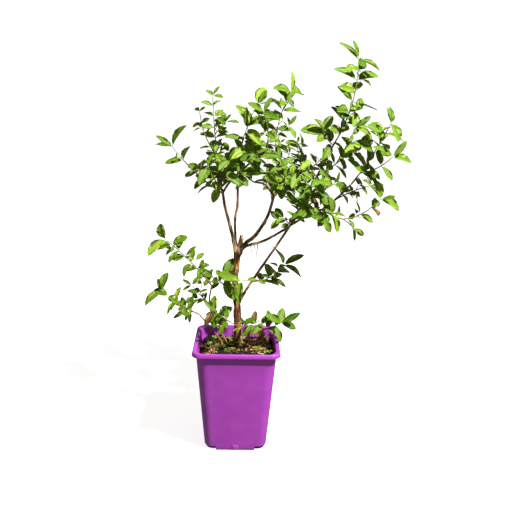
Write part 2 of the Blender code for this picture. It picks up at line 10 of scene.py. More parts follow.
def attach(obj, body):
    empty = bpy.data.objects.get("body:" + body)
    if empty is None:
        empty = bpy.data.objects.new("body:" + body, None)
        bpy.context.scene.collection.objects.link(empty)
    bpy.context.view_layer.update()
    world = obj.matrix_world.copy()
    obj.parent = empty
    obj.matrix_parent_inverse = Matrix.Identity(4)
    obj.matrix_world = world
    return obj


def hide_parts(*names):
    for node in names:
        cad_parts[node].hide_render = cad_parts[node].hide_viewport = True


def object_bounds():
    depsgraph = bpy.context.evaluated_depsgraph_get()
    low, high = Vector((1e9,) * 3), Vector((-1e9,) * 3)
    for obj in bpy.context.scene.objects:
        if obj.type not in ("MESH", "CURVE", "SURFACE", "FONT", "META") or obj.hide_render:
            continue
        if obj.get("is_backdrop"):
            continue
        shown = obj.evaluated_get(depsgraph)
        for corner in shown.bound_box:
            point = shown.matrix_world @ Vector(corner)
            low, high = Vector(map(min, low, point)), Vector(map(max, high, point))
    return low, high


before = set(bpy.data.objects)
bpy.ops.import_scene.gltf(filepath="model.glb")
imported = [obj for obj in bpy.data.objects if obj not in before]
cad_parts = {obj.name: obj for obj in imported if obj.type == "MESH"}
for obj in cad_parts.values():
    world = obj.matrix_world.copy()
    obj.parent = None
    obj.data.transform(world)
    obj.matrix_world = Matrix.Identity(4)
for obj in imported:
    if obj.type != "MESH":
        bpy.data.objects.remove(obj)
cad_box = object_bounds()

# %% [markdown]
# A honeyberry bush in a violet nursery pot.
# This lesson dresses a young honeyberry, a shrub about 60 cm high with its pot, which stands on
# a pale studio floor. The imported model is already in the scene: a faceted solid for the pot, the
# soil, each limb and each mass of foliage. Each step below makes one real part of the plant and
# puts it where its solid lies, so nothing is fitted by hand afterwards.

MM = 0.001
ROOT = "root"
scene = bpy.context.scene


def placed(name, data):
    """A new object with that data, linked to the scene."""
    made = bpy.data.objects.new(name, data)
    scene.collection.objects.link(made)
    return made


print("CAD box in mm:", [[round(value / MM, 1) for value in corner] for corner in cad_box])

# %% [markdown]
# The camera comes first, because every comparison with the photograph needs it. The pot gives
# it away: its rim and base are squares of known size, and only one place and tilt of a camera
# shows both as the photograph does. It stands 0.92 m in front, 0.51 m up, and looks 13.1
# degrees down and one degree to the right. It was held about one degree off level.

# %% The camera at the photograph's viewing angle
CAMERA_PLACE = Vector((0.0086, -0.9166, 0.5130))
CAMERA_DOWN = 13.11
CAMERA_RIGHT = 1.08
CAMERA_ROLL = 1.10
CAMERA_LENS = 43.95
SENSOR_WIDTH = 36.0

camera_data = bpy.data.cameras.new("photograph_view")
camera_data.lens = CAMERA_LENS
camera_data.sensor_width = SENSOR_WIDTH
camera = placed("photograph_view", camera_data)
camera.location = CAMERA_PLACE
aim = Matrix.Rotation(math.radians(-CAMERA_RIGHT), 3, "Z")
aim @= Matrix.Rotation(math.radians(90 - CAMERA_DOWN), 3, "X")
aim @= Matrix.Rotation(math.radians(CAMERA_ROLL), 3, "Z")
camera.rotation_euler = aim.to_euler()
scene.camera = camera
print("camera looks from", [round(value, 3) for value in CAMERA_PLACE])

# %% [markdown]
# Colours are written as sRGB hex values, which is how a colour chart or a web page gives
# them. Blender's shaders work in linear light, so one function turns the first into the second.
# A second function adds a shader node with its settings and its links in one line. The others
# put the usual nodes together, so each material below reads as a short recipe.

# %% Colour and node helpers
def linear(code):
    """An sRGB hex colour, such as "#A845B0", as linear RGBA."""
    shares = [int(code[i:i + 2], 16) / 255 for i in (1, 3, 5)]
    return tuple(c / 12.92 if c <= 0.04045 else ((c + 0.055) / 1.055) ** 2.4 for c in shares) + (1,)


def add(tree, kind, inputs=None, **settings):
    """A new node. Its inputs take plain values, or the output socket of another node."""
    node = tree.nodes.new(kind)
    for name, value in settings.items():
        setattr(node, name, value)
    for name, value in (inputs or {}).items():
        if isinstance(value, bpy.types.NodeSocket):
            tree.links.new(value, node.inputs[name])
        else:
            node.inputs[name].default_value = value
    return node


def ramp(tree, factor, stops):
    """A colour ramp through (place, hex colour) stops."""
    node = add(tree, "ShaderNodeValToRGB", {"Fac": factor})
    elements = node.color_ramp.elements
    while len(elements) < len(stops):
        elements.new(0.5)
    for element, (place, code) in zip(elements, stops):
        element.position = place
        element.color = linear(code)
    return node.outputs["Color"]


def finish(name, base, roughness, ior=1.5, **sockets):
    """A material with one Principled shader, and its node tree."""
    made = bpy.data.materials.new(name)
    made.use_nodes = True
    tree = made.node_tree
    shader = tree.nodes["Principled BSDF"]
    shader.inputs["Base Color"].default_value = linear(base)
    shader.inputs["Roughness"].default_value = roughness
    shader.inputs["IOR"].default_value = ior
    shader.inputs["Metallic"].default_value = 0.0
    for socket, value in sockets.items():
        shader.inputs[socket.replace("_", " ")].default_value = value
    return made, tree, shader


def plain(ior, *rows):
    """Materials of one colour each, from rows of name, hex colour and roughness."""
    return [finish(*row, ior=ior)[0] for row in rows]


def object_noise(tree, scale, detail, **inputs):
    """The grey of a noise that is fixed to the object. Scale is in waves per metre."""
    place = add(tree, "ShaderNodeTexCoord").outputs["Object"]
    return add(tree, "ShaderNodeTexNoise", {"Vector": place, "Scale": scale, "Detail": detail,
                                            **inputs}).outputs["Fac"]


def colour_by(tree, shader, factor, stops):
    """Lets a factor choose the shader's colour along a ramp."""
    tree.links.new(ramp(tree, factor, stops), shader.inputs["Base Color"])


def bump_by(tree, shader, height, strength, distance):
    """Lets a height in shader values raise the surface, by a distance in metres."""
    bump = add(tree, "ShaderNodeBump", {"Height": height, "Strength": strength,
                                        "Distance": distance})
    tree.links.new(bump.outputs["Normal"], shader.inputs["Normal"])


def mottled(name, base, roughness, ior, scale, detail, stops):
    """A material with its colours dealt out by a noise, its tree, its shader and the noise."""
    made, tree, shader = finish(name, base, roughness, ior)
    grey = object_noise(tree, scale, detail)
    colour_by(tree, shader, grey, stops)
    return made, tree, shader, grey


print("violet of the pot in linear light:", [round(c, 3) for c in linear("#A845B0")[:3]])

# %% [markdown]
# A mesh becomes a finished piece in one place, so that every piece follows the same rules: its
# object sits at the origin, its materials are listed in order, it rides on the plant's one body,
# and it hides the imported solids it stands for. Small helpers for bmesh work come with it.

# %% Turning a bmesh into a piece
def mesh_of(bm, name):
    """The bmesh as a mesh. The bmesh is freed."""
    mesh = bpy.data.meshes.new(name)
    bm.to_mesh(mesh)
    bm.free()
    return mesh


def absorb(bm, mesh):
    """Adds the mesh to the bmesh and removes the mesh."""
    bm.from_mesh(mesh)
    bpy.data.meshes.remove(mesh)


def piece(bm, name, finishes, stands_for=(), smooth=True):
    """The bmesh as a piece that rides with the plant."""
    mesh = mesh_of(bm, name)
    for material in finishes:
        mesh.materials.append(material)
    if smooth:
        mesh.shade_smooth()
    made = placed(name, mesh)
    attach(made, ROOT)
    if stands_for:
        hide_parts(*stands_for)
    return made


def extended(bm, face):
    """Extrudes the face and gives its copy. The first face of a solid stays as its end."""
    grown = bmesh.ops.extrude_face_region(bm, geom=[face, *face.edges])
    return next(f for f in grown["geom"] if isinstance(f, bmesh.types.BMFace))


def open_edges(bm):
    """The edges that have a face on one side only."""
    return [edge for edge in bm.edges if edge.is_boundary]


def extended_rim(bm):
    """Extrudes the open edges and gives the new vertices."""
    grown = bmesh.ops.extrude_edge_only(bm, edges=open_edges(bm))["geom"]
    return [item for item in grown if isinstance(item, bmesh.types.BMVert)]


def in_metres(bm, verts):
    """Turns vertices placed in millimetres into metres."""
    bmesh.ops.scale(bm, vec=(MM, MM, MM), verts=verts)


def cut_long_edges(bm, axis, cuts):
    """Cuts the edges of a shape 1 long that run along the axis."""
    long = [e for e in bm.edges if abs(e.verts[0].co[axis] - e.verts[1].co[axis]) > 0.5]
    bmesh.ops.subdivide_edges(bm, edges=long, cuts=cuts)


def drawn(rule, *bounds):
    """A vector with each coordinate drawn in turn between its two bounds."""
    return Vector([rule.uniform(low, high) for low, high in bounds])


print("pieces ride on", ROOT)

# %% [markdown]
# The pot is injection-moulded polypropylene: square, tapered, with rounded corners and a rolled
# lip. A bought pot could be a cube with its edges bevelled, but a moulding is easier to follow
# as a stack of rounded squares. One face is extruded and moved from level to level: up the
# outside, over the lip and down the inside, so walls and lip come out as one closed shell.

# %% The pot's sizes, in millimetres
POT_HEIGHT = 164.6
POT_BASE = 94.5
POT_BODY_TOP = 121.0
POT_CORNER_STEPS = 8
BASE_CORNER = 13.0
TOP_CORNER = 17.5
LIP_CORNER = 14.5
LIP_WIDTH = 132.0
LIP_DEPTH = 7.0
WALL = 1.9
FLOOR = 2.2
DRAIN_HEIGHT = 7.0
DRAIN_FROM = 29.5
DRAIN_PAST = 5.0
UNDER_LIP = POT_HEIGHT - LIP_DEPTH


def inner_width(height):
    """The width between the pot's inner walls at a height above the ground."""
    taper = (POT_BODY_TOP - POT_BASE) / UNDER_LIP
    return POT_BASE + taper * height - 2 * WALL


def wall_corner(height):
    """The radius of the wall's outer corners at a height above the ground."""
    return BASE_CORNER + (TOP_CORNER - BASE_CORNER) * height / UNDER_LIP


def loft(levels, segments):
    """A bmesh through rounded squares, given as (width, height, corner) from the underside
    inwards."""
    bm = bmesh.new()
    first_width, first_height, first_corner = levels[0]
    bmesh.ops.create_grid(bm, x_segments=1, y_segments=1, size=first_width / 2)
    bmesh.ops.bevel(bm, geom=bm.verts[:], offset=first_corner, segments=segments,
                    affect="VERTICES", profile=0.5, material=-1)
    bmesh.ops.translate(bm, vec=(0, 0, first_height), verts=bm.verts)
    face = bm.faces[:][0]
    for (width, _, corner), (new_width, new_height, new_corner) in zip(levels, levels[1:]):
        face = extended(bm, face)
        for vert in face.verts:
            for axis in (0, 1):
                into_corner = abs(vert.co[axis]) - (width / 2 - corner)
                reach = new_width / 2 - new_corner + into_corner * new_corner / corner
                vert.co[axis] = math.copysign(reach, vert.co[axis])
            vert.co.z = new_height
    in_metres(bm, bm.verts)
    bmesh.ops.recalc_face_normals(bm, faces=bm.faces)
    return bm


foot = [(POT_BASE - 2.4, 0, BASE_CORNER - 1), (POT_BASE - 0.8, 0.3, BASE_CORNER - 0.3),
        (POT_BASE, 1.1, BASE_CORNER)]
wall = [(POT_BASE + (POT_BODY_TOP - POT_BASE) * share, share * UNDER_LIP,
         wall_corner(share * UNDER_LIP)) for share in (0.2, 0.4, 0.6, 0.8, 0.99)]
under = [(POT_BODY_TOP + 0.4, UNDER_LIP - 0.5, TOP_CORNER),
         (POT_BODY_TOP + 1.4, UNDER_LIP, TOP_CORNER)]
lip = [(LIP_WIDTH - less, UNDER_LIP + rise, LIP_CORNER - less / 2) for less, rise in (
    (2.4, 0), (0.8, 0.3), (0, 1.2), (0.6, 3.4), (0.9, 5.0), (1.6, 6.2), (3.0, 6.8), (5.0, 7.0),
    (8.6, 6.3), (10.8, 5.9))]
inside = [(inner_width(height) + wider, height, wall_corner(height) - WALL + wider / 2)
          for height, wider in ((POT_HEIGHT - 1.8, 0.9), (POT_HEIGHT - 3, 0), (140, 0), (FLOOR, 0))]
pot_shell = loft(foot + wall + under + lip + inside, POT_CORNER_STEPS)
print("pot shell:", len(pot_shell.faces), "faces,", POT_HEIGHT, "mm high")

# %% [markdown]
# Each bottom corner of the pot is cut away, which lets water out and leaves a foot in the middle
# of each side. A Boolean with four blocks does that. The mould's gate left a small raised mark
# at the foot of the front, made here of two bevelled plates sunk in the wall.

# %% The pot's cut corners and the mark at its foot
def block(bm, centre, sizes, round_by):
    """A bevelled block, sizes in millimetres, added to the bmesh."""
    made = bmesh.ops.create_cube(bm, size=1)["verts"]
    bmesh.ops.scale(bm, vec=sizes, verts=made)
    edges = {edge for vert in made for edge in vert.link_edges}
    rounded = bmesh.ops.bevel(bm, geom=list(edges), offset=round_by, segments=2,
                              affect="EDGES", profile=0.5, material=-1)
    made = list({vert for face in rounded["faces"] for vert in face.verts} | {
        vert for vert in made if vert.is_valid})
    bmesh.ops.translate(bm, vec=centre, verts=made)
    in_metres(bm, made)


drain_blocks = bmesh.new()
drain_side = POT_BASE / 2 - DRAIN_FROM + DRAIN_PAST
drain_centre = DRAIN_FROM + drain_side / 2
for sign_x in (-1, 1):
    for sign_y in (-1, 1):
        block(drain_blocks, (sign_x * drain_centre, sign_y * drain_centre, 0),
              (drain_side, drain_side, 2 * DRAIN_HEIGHT), 1.0)
drains = placed("drains", mesh_of(drain_blocks, "drains"))

pot_front = -POT_BASE / 2 - 0.9
block(pot_shell, (0, pot_front + 0.25, 5.4), (8.6, 1.6, 8.2), 0.5)
block(pot_shell, (0, pot_front + 0.5, 2.0), (4.2, 2.2, 3.0), 0.5)
print("each corner is cut", DRAIN_HEIGHT, "mm high and", POT_BASE / 2 - DRAIN_FROM, "mm long")

# %% [markdown]
# Violet polypropylene is coloured all through, so a scratch stays violet. The mould is
# fine-grained, which leaves a satin face with a soft highlight rather than a gloss. Weeks
# outdoors add faint cloudy dust and a few specks. Three noises draw this: a wide one for the
# dust, a finer one for the specks and the finest one for the grain.

# %% Violet moulded polypropylene
violet, tree, shader = finish("violet_polypropylene", "#AE46BA", 0.42, ior=1.49)
dust = object_noise(tree, 38.0, 5.0, Roughness=0.6)
tone = ramp(tree, dust, [(0.25, "#AA42B8"), (0.5, "#B046BE"), (0.68, "#B54DC2"),
                         (0.85, "#BC5CC8")])
speck_mask = ramp(tree, object_noise(tree, 420.0, 2.0), [(0.70, "#000000"), (0.78, "#FFFFFF")])
mixed = add(tree, "ShaderNodeMix", {"Factor": speck_mask}, data_type="RGBA")
tree.links.new(tone, mixed.inputs["A"])
mixed.inputs["B"].default_value = linear("#7E3C82")
tree.links.new(mixed.outputs["Result"], shader.inputs["Base Color"])
gloss = add(tree, "ShaderNodeMapRange", {"Value": dust, "To Min": 0.30, "To Max": 0.46})
tree.links.new(gloss.outputs["Result"], shader.inputs["Roughness"])
bump_by(tree, shader, object_noise(tree, 900.0, 2.0), 0.12, 0.0004)

pot = piece(pot_shell, "pot_shell", [violet], ["pot"])
cut = pot.modifiers.new("corner_cuts", "BOOLEAN")
cut.object = drains
cut.operation = "DIFFERENCE"
cut.solver = "EXACT"
bpy.context.view_layer.update()
evaluated = pot.evaluated_get(bpy.context.evaluated_depsgraph_get())
cut_mesh = bpy.data.meshes.new_from_object(evaluated)
pot.modifiers.remove(cut)
pot.data = cut_mesh
pot.data.set_sharp_from_angle(angle=math.radians(38))
bpy.data.objects.remove(drains, do_unlink=True)
print("pot:", len(pot.data.polygons), "faces")

# %% [markdown]
# The soil is dark peat that has settled a little below the lip and rises in a low dome to the
# stems. A flat disc would look like cloth, so its top is a fine grid raised by two noises: one
# for lumps about a centimetre wide and one for crumbs. Its edge is then drawn down to the pot's
# floor, because the cut corners of the pot show it from below.

# %% The bed of peat
SOIL_EDGE = 143.0
SOIL_TOP = 149.0
SOIL_PLATEAU = 96.0
SOIL_GAP = 0.3
SOIL_GRID = 104
LUMP_WIDTH = 13
LUMP_HEIGHT = 2.2
CRUMB_WIDTH = 2.6
CRUMB_HEIGHT = 0.55
GROUND = SOIL_TOP + SOIL_GAP
SOIL_HALF = inner_width(SOIL_EDGE) / 2 - SOIL_GAP
SOIL_CORNER = wall_corner(SOIL_EDGE) - WALL - SOIL_GAP


def soil_height(x, y):
    """How high the soil lies there, in millimetres."""
    to_edge = SOIL_HALF - max(abs(x), abs(y))
    share = min(1.0, max(0.0, to_edge / (SOIL_HALF - SOIL_PLATEAU / 2)))
    dome = SOIL_EDGE + (SOIL_TOP - SOIL_EDGE) * share * share * (3 - 2 * share)
    lumps = noise.fractal(Vector((x / LUMP_WIDTH, y / LUMP_WIDTH, 1.7)), 0.9, 2.1, 4)
    crumbs = noise.noise(Vector((x / CRUMB_WIDTH, y / CRUMB_WIDTH, 8.1)))
    return dome + lumps * LUMP_HEIGHT + crumbs * CRUMB_HEIGHT


soil_bm = bmesh.new()
bmesh.ops.create_grid(soil_bm, x_segments=SOIL_GRID, y_segments=SOIL_GRID, size=SOIL_HALF)
corner_centre = SOIL_HALF - SOIL_CORNER
for vert in soil_bm.verts:
    x, y = vert.co.x, vert.co.y
    out = Vector((abs(x) - corner_centre, abs(y) - corner_centre))
    if min(out) > 0 and out.length > SOIL_CORNER:
        out *= SOIL_CORNER / out.length
        x = math.copysign(corner_centre + out.x, x)
        y = math.copysign(corner_centre + out.y, y)
    vert.co = (x, y, soil_height(x, y))
low = extended_rim(soil_bm)
shrink = (inner_width(FLOOR + SOIL_GAP) / 2 - SOIL_GAP) / SOIL_HALF
bmesh.ops.scale(soil_bm, vec=(shrink, shrink, 0), verts=low)
bmesh.ops.translate(soil_bm, vec=(0, 0, FLOOR + SOIL_GAP), verts=low)
bmesh.ops.holes_fill(soil_bm, edges=open_edges(soil_bm), sides=0)
in_metres(soil_bm, soil_bm.verts)
bmesh.ops.recalc_face_normals(soil_bm, faces=soil_bm.faces)

peat, tree, shader, fibres = mottled("moist_peat", "#1E1610", 0.93, 1.4, 300.0, 6.0, [
    (0.3, "#070504"), (0.5, "#150F0A"), (0.66, "#2C2015"), (0.8, "#453522")])
bump_by(tree, shader, fibres, 0.7, 0.001)
soil = piece(soil_bm, "peat_bed", [peat], ["soil"])
print("peat bed:", len(soil.data.polygons), "faces")

# %% [markdown]
# The plant itself starts here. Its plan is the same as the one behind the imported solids: each
# limb has the limb that carries it and a centreline with radii, and each mass of foliage has a
# few shoots. Writing the plan again, rather than tracing the solids, lets every limb be drawn
# with real bark and every mass with finer twigs, in the very same places.

# %% The plan of the limbs, in millimetres
LIMBS = {
    "trunk": (None, [
        (2.5, 21, GROUND, 7.6), (2, 21, 159.5, 5.7), (-0.5, 19, 211, 5.0), (-4, 16, 249, 4.2),
        (-0.5, 12, 305, 5.0)]),
    "left_bough": ("trunk", [
        (-3.5, 10.5, 301, 2.6), (-10, 9, 333, 2.3), (-19.5, 2, 370.5, 2.0),
        (-24.5, -5, 399.5, 1.9)]),
    "mid_bough": ("trunk", [
        (2.5, 13, 301, 2.9), (10.5, 15, 313.5, 2.8), (26.5, 19, 326.5, 2.6), (44, 25, 354, 2.3),
        (54.5, 31, 388.5, 1.9)]),
    "right_bough": ("trunk", [
        (3, 10, 298, 2.4), (10.5, 8.5, 310, 2.1), (46.5, 2, 325, 1.8), (100, -12, 362.5, 1.6),
        (129, -20, 378, 1.4), (160.5, -32, 412.5, 1.2)]),
    "right_upper_bough": ("trunk", [
        (1.5, 19, 215.5, 2.3), (8, 21, 228.5, 2.1), (27.5, 27, 259, 2.0), (81.5, 35, 341, 1.7),
        (99, 34, 375.5, 1.6), (136.5, 24, 457, 1.2)]),
    "pruned_stem": ("trunk", [
        (0, 14, 295, 1.9), (-4, 19, 321, 1.8), (-5, 20, 351, 1.7), (-1.5, 21, 379.5, 1.6),
        (-2.5, 25, 464.5, 1.4)]),
    "fork_stub": ("trunk", [(1.5, 12, 301, 2.4), (3.5, 13, 315, 2.3), (5.5, 14, 327, 1.7)]),
    "low_left_twig": ("trunk", [(-0.5, 17, 221, 1.5), (-8, 15, 229, 1.3), (-23.5, 10, 251.5, 1.0)]),
    "left_cross_bough": ("left_bough", [
        (-23, -4, 394.5, 1.6), (-13.5, -10, 409.5, 1.5), (4.5, -17, 429, 1.4),
        (38, -28, 456.5, 1.1)]),
    "mid_left_bough": ("mid_bough", [
        (53.5, 30.5, 384.5, 1.6), (47, 36, 396.5, 1.5), (37, 43, 402.5, 1.4), (23, 50, 404, 1.2)]),
    "mid_right_bough": ("mid_bough", [
        (55, 31, 386.5, 1.7), (68, 36, 402, 1.6), (81, 44, 407, 1.4), (96, 54, 412.5, 1.2)]),
    "basal_left_low": (None, [
        (-22.5, 11.5, GROUND, 1.4), (-25.5, 13, 157, 1.2), (-40, 6, 179.5, 1.2),
        (-58.5, -5, 206, 1.0)]),
    "basal_left_high": (None, [
        (-15.5, 17, GROUND, 1.6), (-18.5, 18, 157, 1.4), (-33, 14, 183.5, 1.3),
        (-43, 9, 220.5, 1.2), (-39.5, 2, 250, 1.1)]),
    "basal_front": (None, [
        (19.5, -3, GROUND, 1.2), (18.5, -6, 159.5, 1.0), (15, -14, 181, 1.0),
        (-9.5, -29, 202.5, 0.9)]),
    "basal_right": (None, [
        (32, 12, GROUND, 1.3), (32.5, 9.5, 158, 1.1), (35.5, 3.5, 170.5, 1.0),
        (40.5, -3, 181.5, 1.0)]),
}


def curve_through(points, spans):
    """Points on a smooth curve through the given ones, with their radii, in metres."""
    rows = [Vector(p) * MM for p in points]
    rows = [2 * rows[0] - rows[1], *rows, 2 * rows[-1] - rows[-2]]
    path = []
    for a, b, c, d in zip(rows, rows[1:], rows[2:], rows[3:]):
        for step in range(spans):
            s = step / spans
            path.append(0.5 * (2 * b + (c - a) * s + (2 * a - 5 * b + 4 * c - d) * s * s
                               + (3 * b - a - 3 * c + d) * s ** 3))
    path.append(rows[-2])
    return [p.to_3d() for p in path], [p[3] for p in path]


def ring_frames(path, first_normal=None):
    """A matrix for each ring of a tube: its Z runs along the path, and it doesn't twist."""
    tangents = [(b - a).normalized() for a, b in zip(path, path[1:])]
    normals = [(a + b).normalized() for a, b in zip(tangents, tangents[1:])]
    normals = [first_normal or tangents[0], *normals, tangents[-1]]
    turn = normals[0].to_track_quat("Z", "Y")
    frames = []
    for i, (point, normal) in enumerate(zip(path, normals)):
        if i:
            turn = normals[i - 1].rotation_difference(normal) @ turn
        frames.append(Matrix.Translation(point) @ turn.to_matrix().to_4x4())
    return frames


print(len(LIMBS), "limbs and", sum(len(points) for _, points in LIMBS.values()), "points")

# %% [markdown]
# Honeyberry bark starts tan and smooth, then greys and peels off in long papery strips. A tube
# from a curve object would be smooth, and a texture alone leaves the outline smooth. So a flat
# grid is rolled round each centreline and every vertex is pushed in or out by noise that is
# stretched along the limb, which is how shreddy bark runs. Swellings mark where a limb joins its
# carrier and where old leaf pairs stood. The grid's seam is welded and its ends are closed.

# %% Rolling bark round a limb
BARK = {"trunk": (72, 34, 0.75), "fork_stub": (36, 12, 0.45), "pruned_stem": (28, 22, 0.30)}
BARK_OTHER = (28, 20, 0.30)
BARK_YOUNG = (20, 14, 0.12)
SCAR_EVERY = 23.0
RIDGE_WIDTH = 2.4
RIDGE_STRETCH = 7.0
PLATE_WIDTH = 3.1
PLATE_LENGTH = 21
PLATE_STEP = 0.6
SCAR_HEIGHT = 0.22
ROOT_FLARE = 0.16
ROOT_FLARE_LENGTH = 7
FORK_FLARE = 0.30
FORK_FLARE_LENGTH = 4.5
STUB_SWELL = 1.5
BREAK_DEPTH = 4


def bark_offset(name, x, y, s, relief):
    """How far the bark stands out there, in millimetres. x and y go round the limb."""
    seed = sum(map(ord, name)) % 97
    ridge = noise.fractal(Vector((x / RIDGE_WIDTH + seed, y / RIDGE_WIDTH,
                                  s / RIDGE_WIDTH / RIDGE_STRETCH)), 0.8, 2.2, 4)
    plate = noise.noise(Vector((x / PLATE_WIDTH, y / PLATE_WIDTH + seed, s / PLATE_LENGTH)))
    step = PLATE_STEP if plate > 0.12 else 0.0
    scar = math.exp(-((s % SCAR_EVERY - SCAR_EVERY / 2) / 1.3) ** 2)
    return relief * (ridge + step) + SCAR_HEIGHT * scar


def bark_mesh(name):
    """A limb's bark as a bmesh, with a vector at each vertex that says where on it that is."""
    carrier, points = LIMBS[name]
    young = name.startswith("basal")
    around, spans, relief = BARK.get(name, BARK_YOUNG if young else BARK_OTHER)
    path, radii = curve_through(points, spans)
    frames = ring_frames(path, Vector((0, 0, 1)) if carrier is None else None)
    lengths = [0.0]
    for a, b in zip(path, path[1:]):
        lengths.append(lengths[-1] + (b - a).length / MM)
    bm = bmesh.new()
    spots = bm.verts.layers.float_vector.new("limb_place")
    rows = len(path) - 1
    bmesh.ops.create_grid(bm, x_segments=around, y_segments=rows, size=0.5)
    broken = name == "fork_stub"
    for vert in bm.verts:
        row = round((vert.co.y + 0.5) * rows)
        angle = 2 * math.pi * (vert.co.x + 0.5)
        s, radius = lengths[row], radii[row] / MM
        left = lengths[-1] - s
        x, y = radius * math.cos(angle), radius * math.sin(angle)
        out = radius + bark_offset(name, x, y, s, relief)
        if carrier is None:
            lobes = 1 + 0.5 * math.cos(3 * angle + 0.7)
            out += ROOT_FLARE * radius * lobes * math.exp(-s / ROOT_FLARE_LENGTH)
        else:
            out += FORK_FLARE * radius * math.exp(-s / FORK_FLARE_LENGTH)
        if broken:
            out *= STUB_SWELL
        elif name != "pruned_stem" and left < radius:
            out *= math.sqrt(max(0.12, 1 - (1 - left / radius) ** 2))
        lift = 0.0
        if broken and left < BREAK_DEPTH:
            jag = noise.noise(Vector((x * 1.3, y * 1.3, 3.3)))
            lift = jag * 5.0 * (1 - left / BREAK_DEPTH)
        vert.co = frames[row] @ Vector((out * math.cos(angle) * MM,
                                        out * math.sin(angle) * MM, lift * MM))
        vert[spots] = Vector((x, y, s)) * MM
    bmesh.ops.remove_doubles(bm, verts=bm.verts, dist=0.002 * MM)
    caps = bmesh.ops.holes_fill(bm, edges=open_edges(bm), sides=0)
    if broken or name == "pruned_stem":
        tip = max(caps["faces"], key=lambda face: face.calc_center_median().z)
        tip.material_index = 1
    bmesh.ops.recalc_face_normals(bm, faces=bm.faces)
    return bm


print("bark grids:", {name: BARK[name][0] for name in BARK}, "quads round")

# %% [markdown]
# Four finishes cover the wood. The trunk's old bark is brown with tan where a layer has peeled.
# The boughs' bark is greyer, with pale papery streaks. Young bark is tan and smoother. Cut or
# broken wood is pale. All are rough and dry, with no shine. The patterns follow the vector stored
# at each vertex, so the streaks run along every limb however it bends; object coordinates would
# run them straight up through a leaning bough.

# %% Bark and bare wood
def bark_finish(name, stops, scale, stretch, strength):
    """A bark whose streaks run along the limb. Scale is streaks per metre across it."""
    made, tree, shader = finish(name, stops[1][1], 0.88, ior=1.45)
    spot = add(tree, "ShaderNodeAttribute", attribute_name="limb_place").outputs["Vector"]
    laid = add(tree, "ShaderNodeMapping", {"Vector": spot, "Scale": (1, 1, 1 / stretch)})
    streaks = add(tree, "ShaderNodeTexNoise", {
        "Vector": laid.outputs["Vector"], "Scale": scale, "Detail": 6.0,
        "Roughness": 0.62}).outputs["Fac"]
    colour_by(tree, shader, streaks, stops)
    bump_by(tree, shader, streaks, strength, 0.0006)
    return made


old_bark = bark_finish("shreddy_honeyberry_bark", [
    (0.34, "#26150A"), (0.46, "#5A3417"), (0.54, "#8C5A2C"), (0.62, "#CB9A60")], 330, 8, 0.6)
bough_bark = bark_finish("peeling_bough_bark", [
    (0.34, "#35241A"), (0.46, "#6C4E33"), (0.54, "#A98459"), (0.62, "#DFC8A0")], 420, 8, 0.5)
young_bark = bark_finish("tan_young_bark", [
    (0.26, "#5A3B20"), (0.46, "#94683C"), (0.60, "#B98E55"), (0.76, "#C9B37A")], 500, 10, 0.3)
bare_wood = mottled("pale_bare_wood", "#D9C69A", 0.8, 1.45, 900.0, 3.0, [
    (0.35, "#B79C6C"), (0.6, "#DCCBA2")])[0]

triangles = 0
for name in LIMBS:
    young = name.startswith("basal")
    bark = young_bark if young else (old_bark if name == "trunk" else bough_bark)
    made = piece(bark_mesh(name), name + "_bark", [bark, bare_wood],
                 [name])
    triangles += sum(len(face.vertices) - 2 for face in made.data.polygons)
print("bark of", len(LIMBS), "limbs:", triangles, "triangles")

# %% [markdown]
# On the trunk and round the fork the old bark hangs in curling strips, and three threads of
# it dangle under the right bough. Each strip is a narrow grid laid along the limb, with its free
# end bent away from it, then solidified to the thickness of stiff paper.

# %% Peeling strips of bark
def strip(bm, start, down, out, length, width, curl, thick=0.22):
    """A ribbon of bark from a point along one direction, curling away in another. Sizes in mm."""
    part = bmesh.new()
    bmesh.ops.create_grid(part, x_segments=2, y_segments=10, size=0.5)
    side = down.cross(out).normalized()
    for vert in part.verts:
        t = vert.co.y + 0.5
        narrow = width * (1 - 0.65 * t * t)
        lift = curl * t * t + 0.25
        sway = 0.12 * length * math.sin(2.4 * t + length)
        vert.co = (start / MM + down * (length * t) + out * (lift + 0.3 * abs(vert.co.x))
                   + side * (vert.co.x * narrow + sway * t)) * MM
    bmesh.ops.recalc_face_normals(part, faces=part.faces)
    bmesh.ops.solidify(part, geom=part.faces[:], thickness=thick * MM)
    absorb(bm, mesh_of(part, "strip"))


TRUNK_STRIPS = 34
BOUGH_STRIPS = {"right_bough": 5, "mid_bough": 7, "left_bough": 5, "pruned_stem": 5}
THREADS = [(19.6, 7.2, 315, 14), (29.0, 5.8, 317, 31), (24.5, 6.4, 316, 9)]
THREAD_WIDTH = 1.2
THREAD_THICK = 0.45
strips_bm = bmesh.new()
rule = random.Random(21)
trunk_path, trunk_radii = curve_through(LIMBS["trunk"][1], 12)
for _ in range(TRUNK_STRIPS):
    at = rule.randrange(4, len(trunk_path) - 3)
    angle = rule.uniform(0, 2 * math.pi)
    out = Vector((math.cos(angle), math.sin(angle), 0))
    start = trunk_path[at] + out * trunk_radii[at] * 1.06
    strip(strips_bm, start, Vector((rule.uniform(-0.1, 0.1), 0, rule.choice((-1, -1, 1)))), out,
          rule.uniform(8, 24), rule.uniform(0.9, 2.2), rule.uniform(0.2, 2.2))
for limb, count in BOUGH_STRIPS.items():
    path, radii = curve_through(LIMBS[limb][1], 8)
    for _ in range(count):
        at = rule.randrange(3, len(path) - 2)
        out = drawn(rule, (-1, 1), (-1, 0.2), (-1, 0)).normalized()
        run = (path[at + 1] - path[at]).normalized()
        out = (out - run * out.dot(run)).normalized()
        strip(strips_bm, path[at] + out * radii[at], run * rule.choice((-1, 1)), out,
              rule.uniform(6, 14), rule.uniform(0.6, 1.2), rule.uniform(0.4, 2.0))
